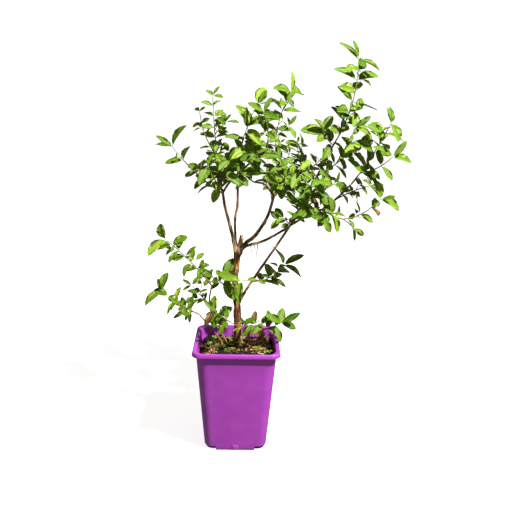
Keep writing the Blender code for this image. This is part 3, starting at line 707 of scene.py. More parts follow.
for x, y, top, length in THREADS:
    strip(strips_bm, Vector((x, y, top)) * MM, Vector((0.04, 0, -1)), Vector((0.4, -0.9, 0)),
          length, THREAD_WIDTH, 1.6, thick=THREAD_THICK)
shreds = mottled("papery_bark_strips", "#A07C50", 0.85, 1.45, 260.0, 4.0, [
    (0.35, "#7C5F3C"), (0.5, "#B3936A"), (0.7, "#DCC9A4")])[0]
strips = piece(strips_bm, "bark_strips", [shreds])
print("bark strips:", len(strips.data.polygons), "faces")

# %% [markdown]
# The foliage follows one seeded rule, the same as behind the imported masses. A shoot bows from its
# carrier to its tip. Opposite pairs of leaves stand on it, each pair a quarter turn on from the
# one below, as on every honeyberry, and turn a little towards the light. Short sprigs branch off
# it. Each shoot draws its chance from its own name, so its leaves come out where the packed
# ones are.

# %% The plan of the foliage, in millimetres
# A mass has its carrier and its shoots. The first shoot stands on the carrier and the others on
# the first. Each has the share of the way along where it starts, its tip, the pull that bows
# it, the number of leaf pairs, the first and the last leaf's length and the number of sprigs.
Shoot = namedtuple("Shoot", "share tip bow pairs leaves sprigs", defaults=[0])
MASSES = {
    "left_spire": ("left_bough", [
        Shoot(1.00, (-38, -16, 533), (-5, 0, 0), 8, (24, 19), 2),
        Shoot(0.36, (-58, 3, 511), (-8, 0, -8), 4, (16, 12))]),
    "left_arm": ("left_bough", [
        Shoot(0.93, (-101, 23, 459), (0, 0, -14), 4, (18, 34), 1)]),
    "left_front": ("left_bough", [
        Shoot(0.97, (-42, -46, 434), (0, 0, -4), 3, (24, 28), 1),
        Shoot(0.35, (-12, -58, 446), (0, 0, -6), 3, (24, 28), 1)]),
    "left_back": ("left_bough", [
        Shoot(0.86, (-38, 52, 451), (0, 0, -8), 4, (22, 30), 1),
        Shoot(0.45, (-2, 48, 438), (0, 0, -6), 3, (22, 28))]),
    "cross_front": ("left_cross_bough", [
        Shoot(0.50, (11, -44, 489), (-10, 0, 0), 4, (22, 31), 1),
        Shoot(0.25, (24, -58, 455), (0, 0, -4), 3, (24, 28)),
        Shoot(0.97, (25, -36, 521), (-3, 0, 0), 2, (33, 35))]),
    "cross_top": ("left_cross_bough", [
        Shoot(1.00, (32, -56, 511), (10, 0, 0), 4, (24, 28))]),
    "mid_left_tops": ("mid_left_bough", [
        Shoot(1.00, (-2, 62, 424), (0, 0, -4), 3, (24, 28)),
        Shoot(0.15, (24, 74, 457), (0, 0, -4), 3, (22, 28))]),
    "mid_spire": ("mid_right_bough", [
        Shoot(0.33, (67, 16, 527), (-26, 0, 0), 8, (20, 33), 2),
        Shoot(0.12, (100, 60, 436), (0, 0, -6), 3, (22, 26)),
        Shoot(0.90, (75, 22, 539), (4, 0, 0), 1, (24, 36))]),
    "mid_right_tops": ("mid_right_bough", [
        Shoot(1.00, (125, 74, 427), (0, 0, -6), 3, (22, 28), 1),
        Shoot(0.20, (98, 82, 458), (0, 0, -4), 3, (20, 26))]),
    "mid_front": ("mid_right_bough", [
        Shoot(0.40, (63, -24, 418), (0, 0, -8), 4, (18, 28), 1),
        Shoot(0.50, (38, -30, 427), (0, 0, -4), 2, (22, 28)),
        Shoot(0.60, (85, -40, 430), (0, 0, -4), 2, (22, 28), 1)]),
    "mid_back": ("mid_bough", [
        Shoot(0.88, (45, 96, 437), (0, 0, -10), 4, (18, 30), 1),
        Shoot(0.45, (81, 100, 446), (0, 0, -6), 3, (22, 28))]),
    "right_spire": ("right_upper_bough", [
        Shoot(1.00, (169, 12, 588), (22, 0, 0), 8, (34, 34), 1),
        Shoot(0.06, (122, 4, 484), (0, 0, -6), 3, (28, 33))]),
    "right_side": ("right_upper_bough", [
        Shoot(0.84, (173, -10, 468), (0, 0, -6), 5, (22, 32), 1),
        Shoot(0.45, (168, -2, 492), (0, 0, -4), 2, (26, 34))]),
    "right_front": ("right_upper_bough", [
        Shoot(0.66, (105, -38, 419), (0, 0, -8), 4, (18, 28), 1),
        Shoot(0.50, (135, -38, 413), (0, 0, -4), 3, (22, 28), 1)]),
    "right_back": ("right_upper_bough", [
        Shoot(0.74, (88, 60, 464), (0, 0, -8), 5, (16, 18), 2),
        Shoot(0.40, (133, 78, 443), (0, 0, -4), 3, (22, 28))]),
    "right_tip": ("right_bough", [
        Shoot(1.00, (209, -46, 500), (4, 0, -4), 6, (27, 33)),
        Shoot(0.20, (211, -60, 454), (0, 0, -10), 3, (24, 30))]),
    "right_tip_small": ("right_bough", [
        Shoot(0.84, (194, -4, 408), (0, 0, 4), 4, (14, 20), 1)]),
    "right_low": ("right_bough", [
        Shoot(0.73, (204, -38, 393), (-8, 0, -44), 5, (13, 33)),
        Shoot(0.35, (167, -34, 349), (0, 0, 2), 1, (12, 19))]),
    "right_under": ("right_bough", [
        Shoot(0.62, (134, -36, 370), (0, 0, 6), 3, (24, 30), 1),
        Shoot(0.40, (101, -28, 374), (0, 0, 4), 2, (22, 28))]),
    "right_low_front": ("right_bough", [
        Shoot(0.46, (67, -14, 359), (0, 0, 0), 2, (14, 19))]),
    "right_low_back": ("right_upper_bough", [
        Shoot(0.50, (116, 80, 386), (0, 0, -4), 4, (18, 28), 1),
        Shoot(0.45, (83, 82, 404), (0, 0, -4), 2, (22, 26))]),
    "low_left_upper": ("basal_left_high", [
        Shoot(1.00, (-106, -30, 329), (4, 0, 4), 7, (12, 33)),
        Shoot(0.06, (-21, 2, 261), (0, 0, 2), 1, (24, 36))]),
    "low_left_lower": ("basal_left_low", [
        Shoot(1.00, (-112, -34, 252), (4, 0, -8), 5, (14, 33)),
        Shoot(0.14, (-82, 2, 206), (0, 0, 0), 2, (15, 19))]),
    "low_left_inner": ("basal_left_high", [
        Shoot(0.70, (-72, 24, 244), (0, 0, -4), 3, (14, 20), 1)]),
    "low_left_front": ("basal_left_high", [
        Shoot(0.42, (-26, -22, 212), (0, 0, 0), 3, (16, 24))]),
    "low_right_spray": ("right_upper_bough", [
        Shoot(0.15, (73, 44, 274), (4, 0, -16), 4, (28, 36)),
        Shoot(0.30, (5, -14, 263), (0, 0, 0), 1, (30, 34))]),
    "base_left": ("basal_front", [
        Shoot(1.00, (-32, -38, 222), (0, 0, -2), 3, (20, 27))]),
    "base_front": ("basal_front", [
        Shoot(0.45, (9, -22, 194), (0, 0, 2), 1, (15, 19))]),
    "base_right": ("basal_right", [
        Shoot(1.00, (68, -8, 195), (0, 0, -2), 3, (24, 34)),
        Shoot(0.05, (27, -12, 193), (0, 0, 2), 1, (22, 24))]),
    "trunk_twig_leaves": ("low_left_twig", [
        Shoot(1.00, (-37, 6, 262), (0, 0, 0), 2, (18, 24))]),
}

print(len(MASSES), "masses with", sum(len(shoots) for _, shoots in MASSES.values()), "shoots")

# %% [markdown]
# The rule itself comes next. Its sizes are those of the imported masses: how far a leaf opens from
# its stem, how much it turns to the light, how long the sprigs are. It also draws its chance in
# the same order as there, which is what makes both grow the same twigs and leaves.

# %% The rule that grows a mass
STEM_FOOT = 1.1
STEM_TIP = 0.7
SPRIG_FOOT = 0.75
SPRIG_LENGTH = (17, 27)
SPRIG_COURSE = (0.55, 0.8, 0.25)
SPRIG_RISE = 2.0
SPRIG_PAIRS = 2
SPRIG_SHARES = (0.12, 0.62)
BARE_SHARE = 0.22
LEAF_OPEN = (40, 76)
LEAF_ROLL = 16
LEAF_SIZE = (0.84, 1.16)
LEAF_DROOP = (0.02, 0.22)
LEAF_WIDTH = (0.52, 0.60)
LIGHT = Vector((0.15, -0.65, 0.60))
CROWN_AXIS = Vector((50, 15, 0))
FACE_OUT = 0.42
TURN_TO_LIGHT = 0.66
FACE_IN = 0.4
FACE_WANDER = 0.4
TIP_SIZE = (0.6, 1.05)
TIP_WIDTH = 0.36


def point_at(path, share):
    """The point at that share of the path's length, and the direction there."""
    lengths = [(b - a).length for a, b in zip(path, path[1:])]
    left = share * sum(lengths)
    for a, b, length in zip(path, path[1:], lengths):
        if left <= length + 1e-9:
            return a.lerp(b, left / length), (b - a).normalized()
        left -= length
    return path[-1].copy(), (path[-1] - path[-2]).normalized()


def bowed_path(start, tip, bow, spans=5):
    """A curve from start to tip whose middle is pulled by half the bow."""
    middle = (start + tip) / 2 + bow
    return [start * (1 - s) ** 2 + middle * 2 * s * (1 - s) + tip * s * s
            for s in (i / spans for i in range(spans + 1))]


def leaf_frame(root, along, upper):
    """A matrix whose X runs along the leaf and whose Z is its upper side."""
    side = upper.cross(along).normalized()
    normal = along.cross(side)
    turn = Matrix((along, side, normal)).transposed().to_4x4()
    return Matrix.Translation(root) @ turn


def facing(point):
    """Where a leaf's upper side looks there: to the light, and away from the crown's axis."""
    away = point - CROWN_AXIS * MM
    away.z = 0
    return (LIGHT + away.normalized() * FACE_OUT).normalized()


def pair_of_leaves(rule, point, axis, roll, length):
    """The two opposite leaves of one node, as (root, direction, upper side, length, width)."""
    across = axis.cross(Vector((0, 1, 0)))
    if across.length < 0.2:
        across = axis.cross(Vector((0, 0, 1)))
    across = Matrix.Rotation(math.radians(roll), 3, axis) @ across.normalized()
    light = facing(point)
    leaves = []
    for side in (across, -across):
        opened = math.radians(rule.uniform(*LEAF_OPEN))
        along = axis * math.cos(opened) + side * math.sin(opened)
        along -= light * along.dot(light) * TURN_TO_LIGHT
        along.z -= rule.uniform(*LEAF_DROOP)
        along.normalize()
        inner = axis * math.sin(opened) - side * math.cos(opened)
        wander = drawn(rule, (-1, 1), (-1, 1), (-1, 1))
        upper = inner * FACE_IN + light + wander * FACE_WANDER
        size = length * rule.uniform(*LEAF_SIZE)
        leaves.append((point, along, upper, size, size * rule.uniform(*LEAF_WIDTH)))
    return leaves


def shoot_leaves(rule, path, pairs, first, last):
    """All the leaves of a shoot: opposite pairs, each a quarter turn on from the one below."""
    leaves = []
    roll = rule.uniform(0, 90)
    for i in range(pairs):
        share = 1.0 if pairs == 1 else BARE_SHARE + (1 - BARE_SHARE) * i / (pairs - 1)
        point, axis = point_at(path, min(share, 0.985))
        length = first + (last - first) * share
        turn = roll + 90 * i + rule.uniform(-LEAF_ROLL, LEAF_ROLL)
        leaves += pair_of_leaves(rule, point, axis, turn, length)
    return leaves


def tip_leaf(rule, path, last):
    """The single young leaf that ends a shoot."""
    point, axis = point_at(path, 0.99)
    wander = drawn(rule, (-0.8, 0.8), (-0.6, 0.6), (-0.3, 0.5))
    size = last * rule.uniform(*TIP_SIZE)
    return (point, (axis + wander).normalized(), facing(point), size, size * TIP_WIDTH)


def side_twig(rule, path, share, length, course, rise, flip=1):
    """A short twig off a path, as a path. Its course is how far it runs along, out and up."""
    point, axis = point_at(path, share)
    turn = Matrix.Rotation(rule.uniform(0, 2 * math.pi), 3, axis)
    side = turn @ axis.orthogonal().normalized() * flip
    along, out, up = course
    course = (axis * along + side * out + Vector((0, 0, up))).normalized()
    tip = point + course * rule.uniform(*length) * MM
    return bowed_path(point, tip, Vector((0, 0, rise * MM)), 2)


def sprigs_of(rule, path, count):
    """Short side twigs that the rule grows from a shoot, as paths."""
    sprigs = []
    for i in range(count):
        share = SPRIG_SHARES[0] + SPRIG_SHARES[1] * (i + rule.uniform(0.2, 0.8)) / count
        sprigs.append(side_twig(rule, path, share, SPRIG_LENGTH, SPRIG_COURSE, SPRIG_RISE))
    return sprigs


def grow(mass, limb_paths):
    """The rule: every stem of a mass, as (path, foot radius, tip radius), and its leaves."""
    carrier, shoots = MASSES[mass]
    stems, leaves, side_stems, side_leaves = [], [], [], []
    for number, shoot in enumerate(shoots):
        rule = random.Random(f"{mass} {number}")
        on = stems[0][0] if number else limb_paths[carrier]
        start, _ = point_at(on, shoot.share)
        path = bowed_path(start, Vector(shoot.tip) * MM, Vector(shoot.bow) * MM)
        foot = STEM_FOOT * 0.85 if number else STEM_FOOT
        stems.append((path, foot * MM, STEM_TIP * MM))
        first, last = shoot.leaves
        leaves.append(shoot_leaves(rule, path, shoot.pairs, first, last))
        leaves[-1].append(tip_leaf(rule, path, last))
        size = (first + last) / 2
        for sprig in sprigs_of(rule, path, shoot.sprigs):
            side_stems.append((sprig, SPRIG_FOOT * MM, STEM_TIP * 0.8 * MM))
            side_leaves.append(shoot_leaves(rule, sprig, SPRIG_PAIRS, size * 0.7, size * 0.85))
            side_leaves[-1].append(tip_leaf(rule, sprig, size * 0.8))
    return stems + side_stems, leaves + side_leaves


limb_paths = {name: curve_through(points, 2)[0] for name, (_, points) in LIMBS.items()}
grown = {mass: grow(mass, limb_paths) for mass in MASSES}
print("stems:", sum(len(stems) for stems, _ in grown.values()))
print("leaves:", sum(len(group) for _, groups in grown.values() for group in groups))

# %% [markdown]
# A honeyberry leaf is a smooth-edged ellipse, two to four centimetres long on a short stalk. It
# is widest near the middle, is folded a little along its midrib, and arches down to a
# short point. Hundreds are needed, so each is a light mesh: a grid of seven by five faces bent
# to that outline, with a plainer underside welded to its edge, 49 faces in all. Six variants
# differ in fold, arch, twist and wave, and a pale midrib has faces of its own.

# %% Six leaf shapes
LEAF_ALONG = (0, 0.075, 0.17, 0.34, 0.56, 0.78, 0.93, 1.0)
LEAF_ACROSS = (-1, -0.52, -0.07, 0.07, 0.52, 1)
STALK = 0.075
MIDRIB = 0.011
LEAF_THICK = 0.012
LeafShape = namedtuple("LeafShape", "fold arch twist wave widest")
LEAF_SHAPES = [
    LeafShape(0.16, 0.14, 0.10, 0.012, 0.98), LeafShape(0.28, 0.20, -0.15, 0.010, 0.94),
    LeafShape(0.10, 0.08, -0.20, 0.016, 1.02), LeafShape(0.20, 0.26, 0.25, 0.012, 0.96),
    LeafShape(0.34, 0.12, 0.05, 0.014, 0.92), LeafShape(0.12, 0.18, -0.08, 0.018, 1.04)]
# Sunlit, mid and deep are painted light and painted shade of one green; young and dry are the
# leaves' own colours.
TONES = ("sunlit", "mid", "deep", "young", "dry")
TOP_SLOT = {tone: i for i, tone in enumerate(TONES)}
MIDRIB_SLOT = len(TONES)
UNDER_SLOT = {tone: len(TONES) + 1 + i for i, tone in enumerate(TONES)}


def half_width(share, shape):
    """Half the leaf's width at a share of its length, for a leaf 1 wide."""
    if share <= STALK:
        return MIDRIB * share / STALK
    blade = (share - STALK) / (1 - STALK)
    return max(MIDRIB, 0.5 * math.sin(math.pi * blade ** shape.widest) ** 0.64) * (share < 1)


def leaf_layer(bm, shape, across, lower, blade_slot, midrib_slot):
    """One side of a leaf. Its inner points are lowered, and its edge points are not."""
    made = bmesh.ops.create_grid(bm, x_segments=len(LEAF_ALONG) - 1,
                                 y_segments=len(across) - 1, size=0.5)["verts"]
    faces = list({face for vert in made for face in vert.link_faces})
    for face in faces:
        middle = abs(face.calc_center_median().y) < 0.05
        face.material_index = midrib_slot if middle else blade_slot
    for vert in made:
        share = LEAF_ALONG[round((vert.co.x + 0.5) * (len(LEAF_ALONG) - 1))]
        side = across[round((vert.co.y + 0.5) * (len(across) - 1))]
        wide = half_width(share, shape)
        y = math.copysign(min(MIDRIB, wide), side) if 0 < abs(side) < 0.1 else side * wide
        z = (shape.fold * abs(y) ** 1.15 - shape.arch * share ** 2 + shape.arch * 0.25 * share
             + shape.wave * side * side * math.sin(9 * share + 2 * side)
             - lower * (abs(side) < 1))
        turn = shape.twist * share
        vert.co = (share, y * math.cos(turn) - z * math.sin(turn) * 0.4,
                   z + y * math.sin(turn) * 0.5)
    return faces


def leaf_template(shape, tone):
    """A closed leaf, 1 long and 1 wide, with X along it and Z its upper side."""
    bm = bmesh.new()
    grain = bm.loops.layers.uv.new("leaf")
    leaf_layer(bm, shape, LEAF_ACROSS, 0, TOP_SLOT[tone], MIDRIB_SLOT)
    under = leaf_layer(bm, shape, (-1, 0, 1), LEAF_THICK, UNDER_SLOT[tone], UNDER_SLOT[tone])
    bmesh.ops.reverse_faces(bm, faces=under)
    for face in bm.faces:
        for loop in face.loops:
            loop[grain].uv = (loop.vert.co.x, loop.vert.co.y + 0.5)
    bmesh.ops.remove_doubles(bm, verts=bm.verts, dist=1e-5)
    return mesh_of(bm, "leaf_" + tone)


TEMPLATES = {tone: [leaf_template(shape, tone) for shape in LEAF_SHAPES] for tone in TONES}
print("one leaf:", len(TEMPLATES["mid"][0].polygons), "faces")


def stamp(bm, template, place):
    """Adds a copy of the template's mesh, moved by the matrix, to the bmesh."""
    copy = template.copy()
    copy.transform(place)
    absorb(bm, copy)


# %% [markdown]
# A leaf's top is a living, slightly waxy green; its underside is paler and duller, with a bloom
# of fine hairs. In the sun the same leaf runs from yellow-green to nearly black-green, so five
# tones are dealt out by chance: sunlit, mid, deep, young yellow-green, and a few dry brown
# ones. Sunlit, mid and deep are painted light and painted shade: lit, half-lit and shaded copies
# of one green, top and underside alike, and the lower masses draw more of the shaded copy. Each
# tone is a plain colour of its own, and the side veins are a bump along the leaf's own UV map.

# %% Leaf finishes
# The first three colours of each row are painted light, painted half-light and painted shade of one
# green.
TOP_COLOURS = ("#6A901A", "#5C8410", "#4A720A", "#84A626", "#6B4A20")
UNDER_COLOURS = ("#97A851", "#83983F", "#6F8632", "#A4B352", "#8A6B40")
VEINS_A_SIDE = 7
VEIN_SLANT = -0.7


def leaf_finish(name, colour, roughness, depth):
    """A leaf side. Its veins leave the midrib at a slant, seven to each side."""
    made, tree, shader = finish(
        name, colour, roughness, ior=1.42, Specular_IOR_Level=0.2, Subsurface_Weight=0.35,
        Subsurface_Radius=(0.7, 1.0, 0.2), Subsurface_Scale=0.0006)

    def maths(operation, *values):
        """A calculation on numbers and sockets."""
        node = add(tree, "ShaderNodeMath", dict(enumerate(values)), operation=operation)
        return node.outputs[0]

    grain = add(tree, "ShaderNodeUVMap", uv_map="leaf").outputs["UV"]
    parts = add(tree, "ShaderNodeSeparateXYZ", {"Vector": grain})
    out = maths("ABSOLUTE", maths("SUBTRACT", parts.outputs["Y"], 0.5))
    slant = maths("MULTIPLY_ADD", out, VEIN_SLANT, parts.outputs["X"])
    wave = maths("SINE", maths("MULTIPLY", slant, VEINS_A_SIDE * 2 * math.pi))
    bump_by(tree, shader, wave, 0.25, depth)
    return made


# The sunlit, mid and deep finishes, top and underside, are painted light and painted shade.
leaf_finishes = [
    *(leaf_finish("leaf_top_" + tone, colour, 0.46, 0.00008)
      for tone, colour in zip(TONES, TOP_COLOURS)),
    *plain(1.5, ("leaf_midrib", "#8AA040", 0.5)),
    *(leaf_finish("leaf_under_" + tone, colour, 0.7, 0.0001)
      for tone, colour in zip(TONES, UNDER_COLOURS))]
print("leaf finishes:", [material.name for material in leaf_finishes])

# %% [markdown]
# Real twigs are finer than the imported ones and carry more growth: along a shoot, short spurs
# start between the pairs of leaves, each with two or three small leaves. A second stream of
# random numbers grows these spurs, so the first stream, and with it every main leaf, stays as it
# is. None grows near a shoot's tip, which keeps them within the crown's outline.

# %% Spurs along the shoots
SPUR_SHARES = (BARE_SHARE * 0.6, 0.86)
SPUR_LENGTH = (5, 13)
SPUR_COURSE = (0.7, 0.7, 0.15)
SPUR_RISE = 0.6
SPUR_LEAF = (10, 20)
SPUR_CHANCE = 0.3
SPUR_FOOT = 0.55
SPUR_TIP = 0.35


def spurs_of(mass, stems, shoots):
    """Short leafy spurs, as (path, leaves), from a random stream of their own."""
    spurs = []
    for number, (shoot, (path, _, _)) in enumerate(zip(shoots, stems)):
        extra = random.Random(f"{mass} {number} spurs")
        first, last = SPUR_SHARES
        places = max(shoot.pairs, 2)
        for i in range(places):
            share = first + (last - first) * (i + 0.5) / places
            for flip in (1, -1):
                if extra.random() > SPUR_CHANCE:
                    continue
                spur = side_twig(extra, path, share, SPUR_LENGTH, SPUR_COURSE, SPUR_RISE, flip)
                size = extra.uniform(*SPUR_LEAF)
                leaves = pair_of_leaves(extra, *point_at(spur, 0.97), extra.uniform(0, 180), size)
                if extra.random() < 0.5:
                    leaves.append(tip_leaf(extra, spur, size * 0.8))
                spurs.append((spur, leaves))
    return spurs


spurs = {mass: spurs_of(mass, grown[mass][0], MASSES[mass][1]) for mass in MASSES}
print("spurs:", sum(len(group) for group in spurs.values()), "with",
      sum(len(leaves) for group in spurs.values() for _, leaves in group), "small leaves")

# %% [markdown]
# Now each mass is dressed. Twigs are six-sided tubes that swell a little here and there
# and run from tan bark at the foot to green at the tip. Leaves are copies of the six shapes,
# laid on the rule's places and narrowed to the real leaf's width. Each mass gives two pieces,
# one of twigs and one of leaves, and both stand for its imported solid.

# %% Twigs and leaves of every mass
TWIG_SIDES = 6
LEAF_NARROW = 0.88
# The sunlit and deep tones are painted light and painted shade: upper masses get more sunlit
# leaves, lower masses more deep ones, and seedlings are partly sunlit.
TONE_SHARES = {"upper": (0.34, 0.36, 0.16, 0.12, 0.02), "lower": (0.20, 0.40, 0.34, 0.04, 0.02),
               "seedling": (0.3, 0, 0, 0.7, 0), "fallen": (0, 0, 0, 0, 1)}


def twig(bm, path, foot, tip, steps, slots):
    """A tapered tube along a path with a swelling at every third ring. Radii in metres."""
    points = [point_at(path, i / steps)[0] for i in range(steps + 1)]
    frames = ring_frames(points)
    radii = [(foot + (tip - foot) * i / steps) * (1.18 if i % 3 == 1 else 1.0)
             for i in range(steps)] + [tip * 0.6]
    ring = bmesh.ops.create_circle(bm, cap_ends=True, radius=radii[0], segments=TWIG_SIDES,
                                   matrix=frames[0])["verts"]
    face = ring[0].link_faces[0]
    for i in range(1, steps + 1):
        face = extended(bm, face)
        share = Matrix.Scale(radii[i] / radii[i - 1], 4)
        bmesh.ops.transform(bm, matrix=frames[i] @ share @ frames[i - 1].inverted(),
                            verts=face.verts)
        slot = slots[min(len(slots) - 1, int(len(slots) * (i - 0.5) / steps))]
        for edge in face.edges:
            for wall in edge.link_faces:
                wall.material_index = slot


def lay_leaf(bm, leaf, rule, shares):
    """A leaf of a random shape and tone at the rule's place."""
    root, along, upper, length, width = leaf
    # Sunlit and mid tones drawn here are painted light, and the deep tone is painted shade.
    tone = rule.choices(TONES, weights=shares)[0]
    size = Matrix.Diagonal((length * MM, width * LEAF_NARROW * MM, length * MM, 1))
    stamp(bm, rule.choice(TEMPLATES[tone]), leaf_frame(root, along, upper) @ size)


twig_barks = plain(1.45, ("twig_tan_bark", "#8C6A42", 0.8), ("twig_olive_bark", "#8A8748", 0.7),
                   ("twig_green_skin", "#86A03C", 0.6))
total = 0
for mass, (carrier, shoots) in MASSES.items():
    # Low masses draw more of the deep tone, which is painted shade.
    lower = mass.startswith(("low", "base", "trunk"))
    shares = TONE_SHARES["lower" if lower else "upper"]
    rule = random.Random(f"{mass} leaves")
    twig_bm, leaf_bm = bmesh.new(), bmesh.new()
    stems, groups = grown[mass]
    for i, ((path, foot, tip), group) in enumerate(zip(stems, groups)):
        main = i < len(shoots)
        twig(twig_bm, path, foot, tip * 0.75, 15 if main else 6, (0, 1, 1, 2) if main else (1, 2))
        for leaf in group:
            lay_leaf(leaf_bm, leaf, rule, shares)
    for spur, leaves in spurs[mass]:
        twig(twig_bm, spur, SPUR_FOOT * MM, SPUR_TIP * MM, 3, (1, 2))
        for leaf in leaves:
            lay_leaf(leaf_bm, leaf, rule, shares)
    piece(twig_bm, mass + "_twigs", twig_barks, [mass])
    leaves = piece(leaf_bm, mass + "_leaves", leaf_finishes, [mass])
    total += len(leaves.data.polygons)
print("leaves of all masses:", total, "faces")

# %% [markdown]
# The peat isn't bare. Crumbs of it lie about, chips of bark and dry straw lie most of all at the
# right, moss cushions grow in the middle, and a few seedlings have come up. Each kind is one
# joined mesh of many small copies, set down at the soil's own height, so nothing hovers.

# %% Litter on the soil
def on_soil(x, y, lift=0.0):
    """The point on the soil there, in metres."""
    return Vector((x, y, soil_height(x, y) + lift)) * MM


def lump_template(seed):
    """An irregular lump about 1 across."""
    bm = bmesh.new()
    bmesh.ops.create_icosphere(bm, subdivisions=1, radius=0.5)
    for vert in bm.verts:
        vert.co *= 1 + 0.55 * noise.noise(vert.co * 2.3 + Vector((seed, 0, 0)))
    bmesh.ops.scale(bm, vec=(1, 0.8, 0.7), verts=bm.verts)
    return mesh_of(bm, "lump")


def slotted(mesh, slot):
    """The mesh with all its faces in one material slot."""
    for face in mesh.polygons:
        face.material_index = slot
    return mesh


def chip_template(seed, slot):
    """A splinter of bark, 1 long: a block bent and tapered."""
    bm = bmesh.new()
    bmesh.ops.create_cube(bm, size=1)
    cut_long_edges(bm, 0, 2)
    for vert in bm.verts:
        x = vert.co.x
        taper = 1 - 0.5 * abs(x + 0.1 * seed % 0.3)
        vert.co.y *= 0.34 * taper
        vert.co.z = vert.co.z * 0.12 * taper + 0.25 * x * x * (-1) ** seed
    return slotted(mesh_of(bm, "chip"), slot)


def laid(x, y, size, rule, lift=0.0, tilt=0.6):
    """A matrix that lays something of that size on the soil, turned at random."""
    turn = Matrix.Rotation(rule.uniform(0, 2 * math.pi), 4, "Z")
    lean = Matrix.Rotation(rule.uniform(-tilt, tilt), 4, "Y")
    roll = Matrix.Rotation(rule.uniform(-tilt, tilt), 4, "X")
    return Matrix.Translation(on_soil(x, y, lift)) @ turn @ lean @ roll @ Matrix.Scale(
        size * MM, 4)


INSIDE = SOIL_HALF - 4
CRUMBS = 620
CHIPS_RIGHT = 240
CHIPS_LEFT = 60
LONG_CHIPS = 0.35
rule = random.Random(33)
lumps = [lump_template(seed) for seed in range(5)]
crumb_bm = bmesh.new()
for _ in range(CRUMBS):
    x, y = rule.uniform(-INSIDE, INSIDE), rule.uniform(-INSIDE, INSIDE)
    stamp(crumb_bm, rule.choice(lumps), laid(x, y, rule.uniform(0.9, 3.4), rule, 0.2))
WALL_SPECKS = [(-49.9, 155.7, 1.3), (-14.8, 150.8, 1.9), (-8.2, 159.5, 1.2), (41.8, 154.4, 1.2),
               (-54.5, 160.5, 0.9), (-30.5, 152.4, 0.8), (24.0, 151.5, 0.9), (2.0, 157.0, 0.7)]
for x, z, size in WALL_SPECKS:
    at = Vector((x, inner_width(z) / 2 - 0.1, z)) * MM
    stamp(crumb_bm, rule.choice(lumps), Matrix.Translation(at) @ Matrix.Scale(size * MM, 4))
crumbs = piece(crumb_bm, "peat_crumbs", plain(1.4, ("peat_crumbs_brown", "#1F160E", 0.95)),
               smooth=False)
print("crumbs:", len(crumbs.data.polygons), "faces")

chips = [chip_template(seed, slot) for slot, seeds in enumerate((4, 3, 3)) for seed in range(seeds)]
chip_bm = bmesh.new()
for _ in range(CHIPS_RIGHT):
    x = rule.triangular(-20, INSIDE - 3, 40)
    y = rule.triangular(-30, INSIDE, 12)
    long_one = rule.random() < LONG_CHIPS
    stamp(chip_bm, rule.choice(chips), laid(x, y, rule.uniform(3, 11 if long_one else 6), rule,
                                            rule.uniform(0.3, 2.6)))
for _ in range(CHIPS_LEFT):
    x, y = rule.uniform(-INSIDE, -28), rule.uniform(-30, 26)
    stamp(chip_bm, rule.choice(chips[4:]), laid(x, y, rule.uniform(2.5, 7), rule, 0.5))
chip_barks = plain(1.45, ("bark_chip_brown", "#6A3F26", 0.85), ("bark_chip_tan", "#A57648", 0.85),
                   ("dry_straw", "#CDB178", 0.75))
litter = piece(chip_bm, "bark_chips_and_straw", chip_barks, smooth=False)
print("chips and straw:", len(litter.data.polygons), "faces")

# %% [markdown]
# Moss is thousands of tiny leafy stems. At this distance a cushion reads as a rough green mound,
# so each is a drift of small upright blades, each blade one pointed leaf of a few faces. Dead
# honeyberry leaves lie brown, most of them at the back right, made from the plant's own leaf
# shapes, and seedlings are small rosettes of the same shapes in bright green.

# %% Moss, seedlings and fallen leaves
def blade_template(slot):
    """A pointed blade, 1 long and upright: a cone of three sides, bent over."""
    bm = bmesh.new()
    bmesh.ops.create_cone(bm, cap_ends=True, segments=3, radius1=0.16, radius2=0.02, depth=1)
    cut_long_edges(bm, 2, 1)
    for vert in bm.verts:
        vert.co.z += 0.5
        vert.co.x += 0.35 * vert.co.z ** 2
    return slotted(mesh_of(bm, "blade"), slot)


MOSS_DRIFTS = [(-29, 5, 11, 190), (-13, -9, 9, 150), (4, -5, 9, 150), (-22, 27, 9, 110),
               (-40, 24, 7, 60), (14, 8, 7, 70), (30, -14, 8, 70), (-2, 14, 7, 80),
               (40, -18, 6, 50)]
blades = [blade_template(slot) for slot in range(3)]
moss_bm = bmesh.new()
for x, y, spread, count in MOSS_DRIFTS:
    for _ in range(count):
        at_x, at_y = (min(INSIDE, max(-INSIDE, rule.gauss(middle, spread / 2)))
                      for middle in (x, y))
        stamp(moss_bm, rule.choice(blades), laid(at_x, at_y, rule.uniform(1.6, 4.2), rule, -0.3))
moss_greens = plain(1.5, ("moss_deep_green", "#38480F", 0.9), ("moss_green", "#5C721A", 0.9),
                    ("moss_pale_green", "#8C9C36", 0.9))
moss = piece(moss_bm, "moss", moss_greens)
print("moss:", len(moss.data.polygons), "faces")

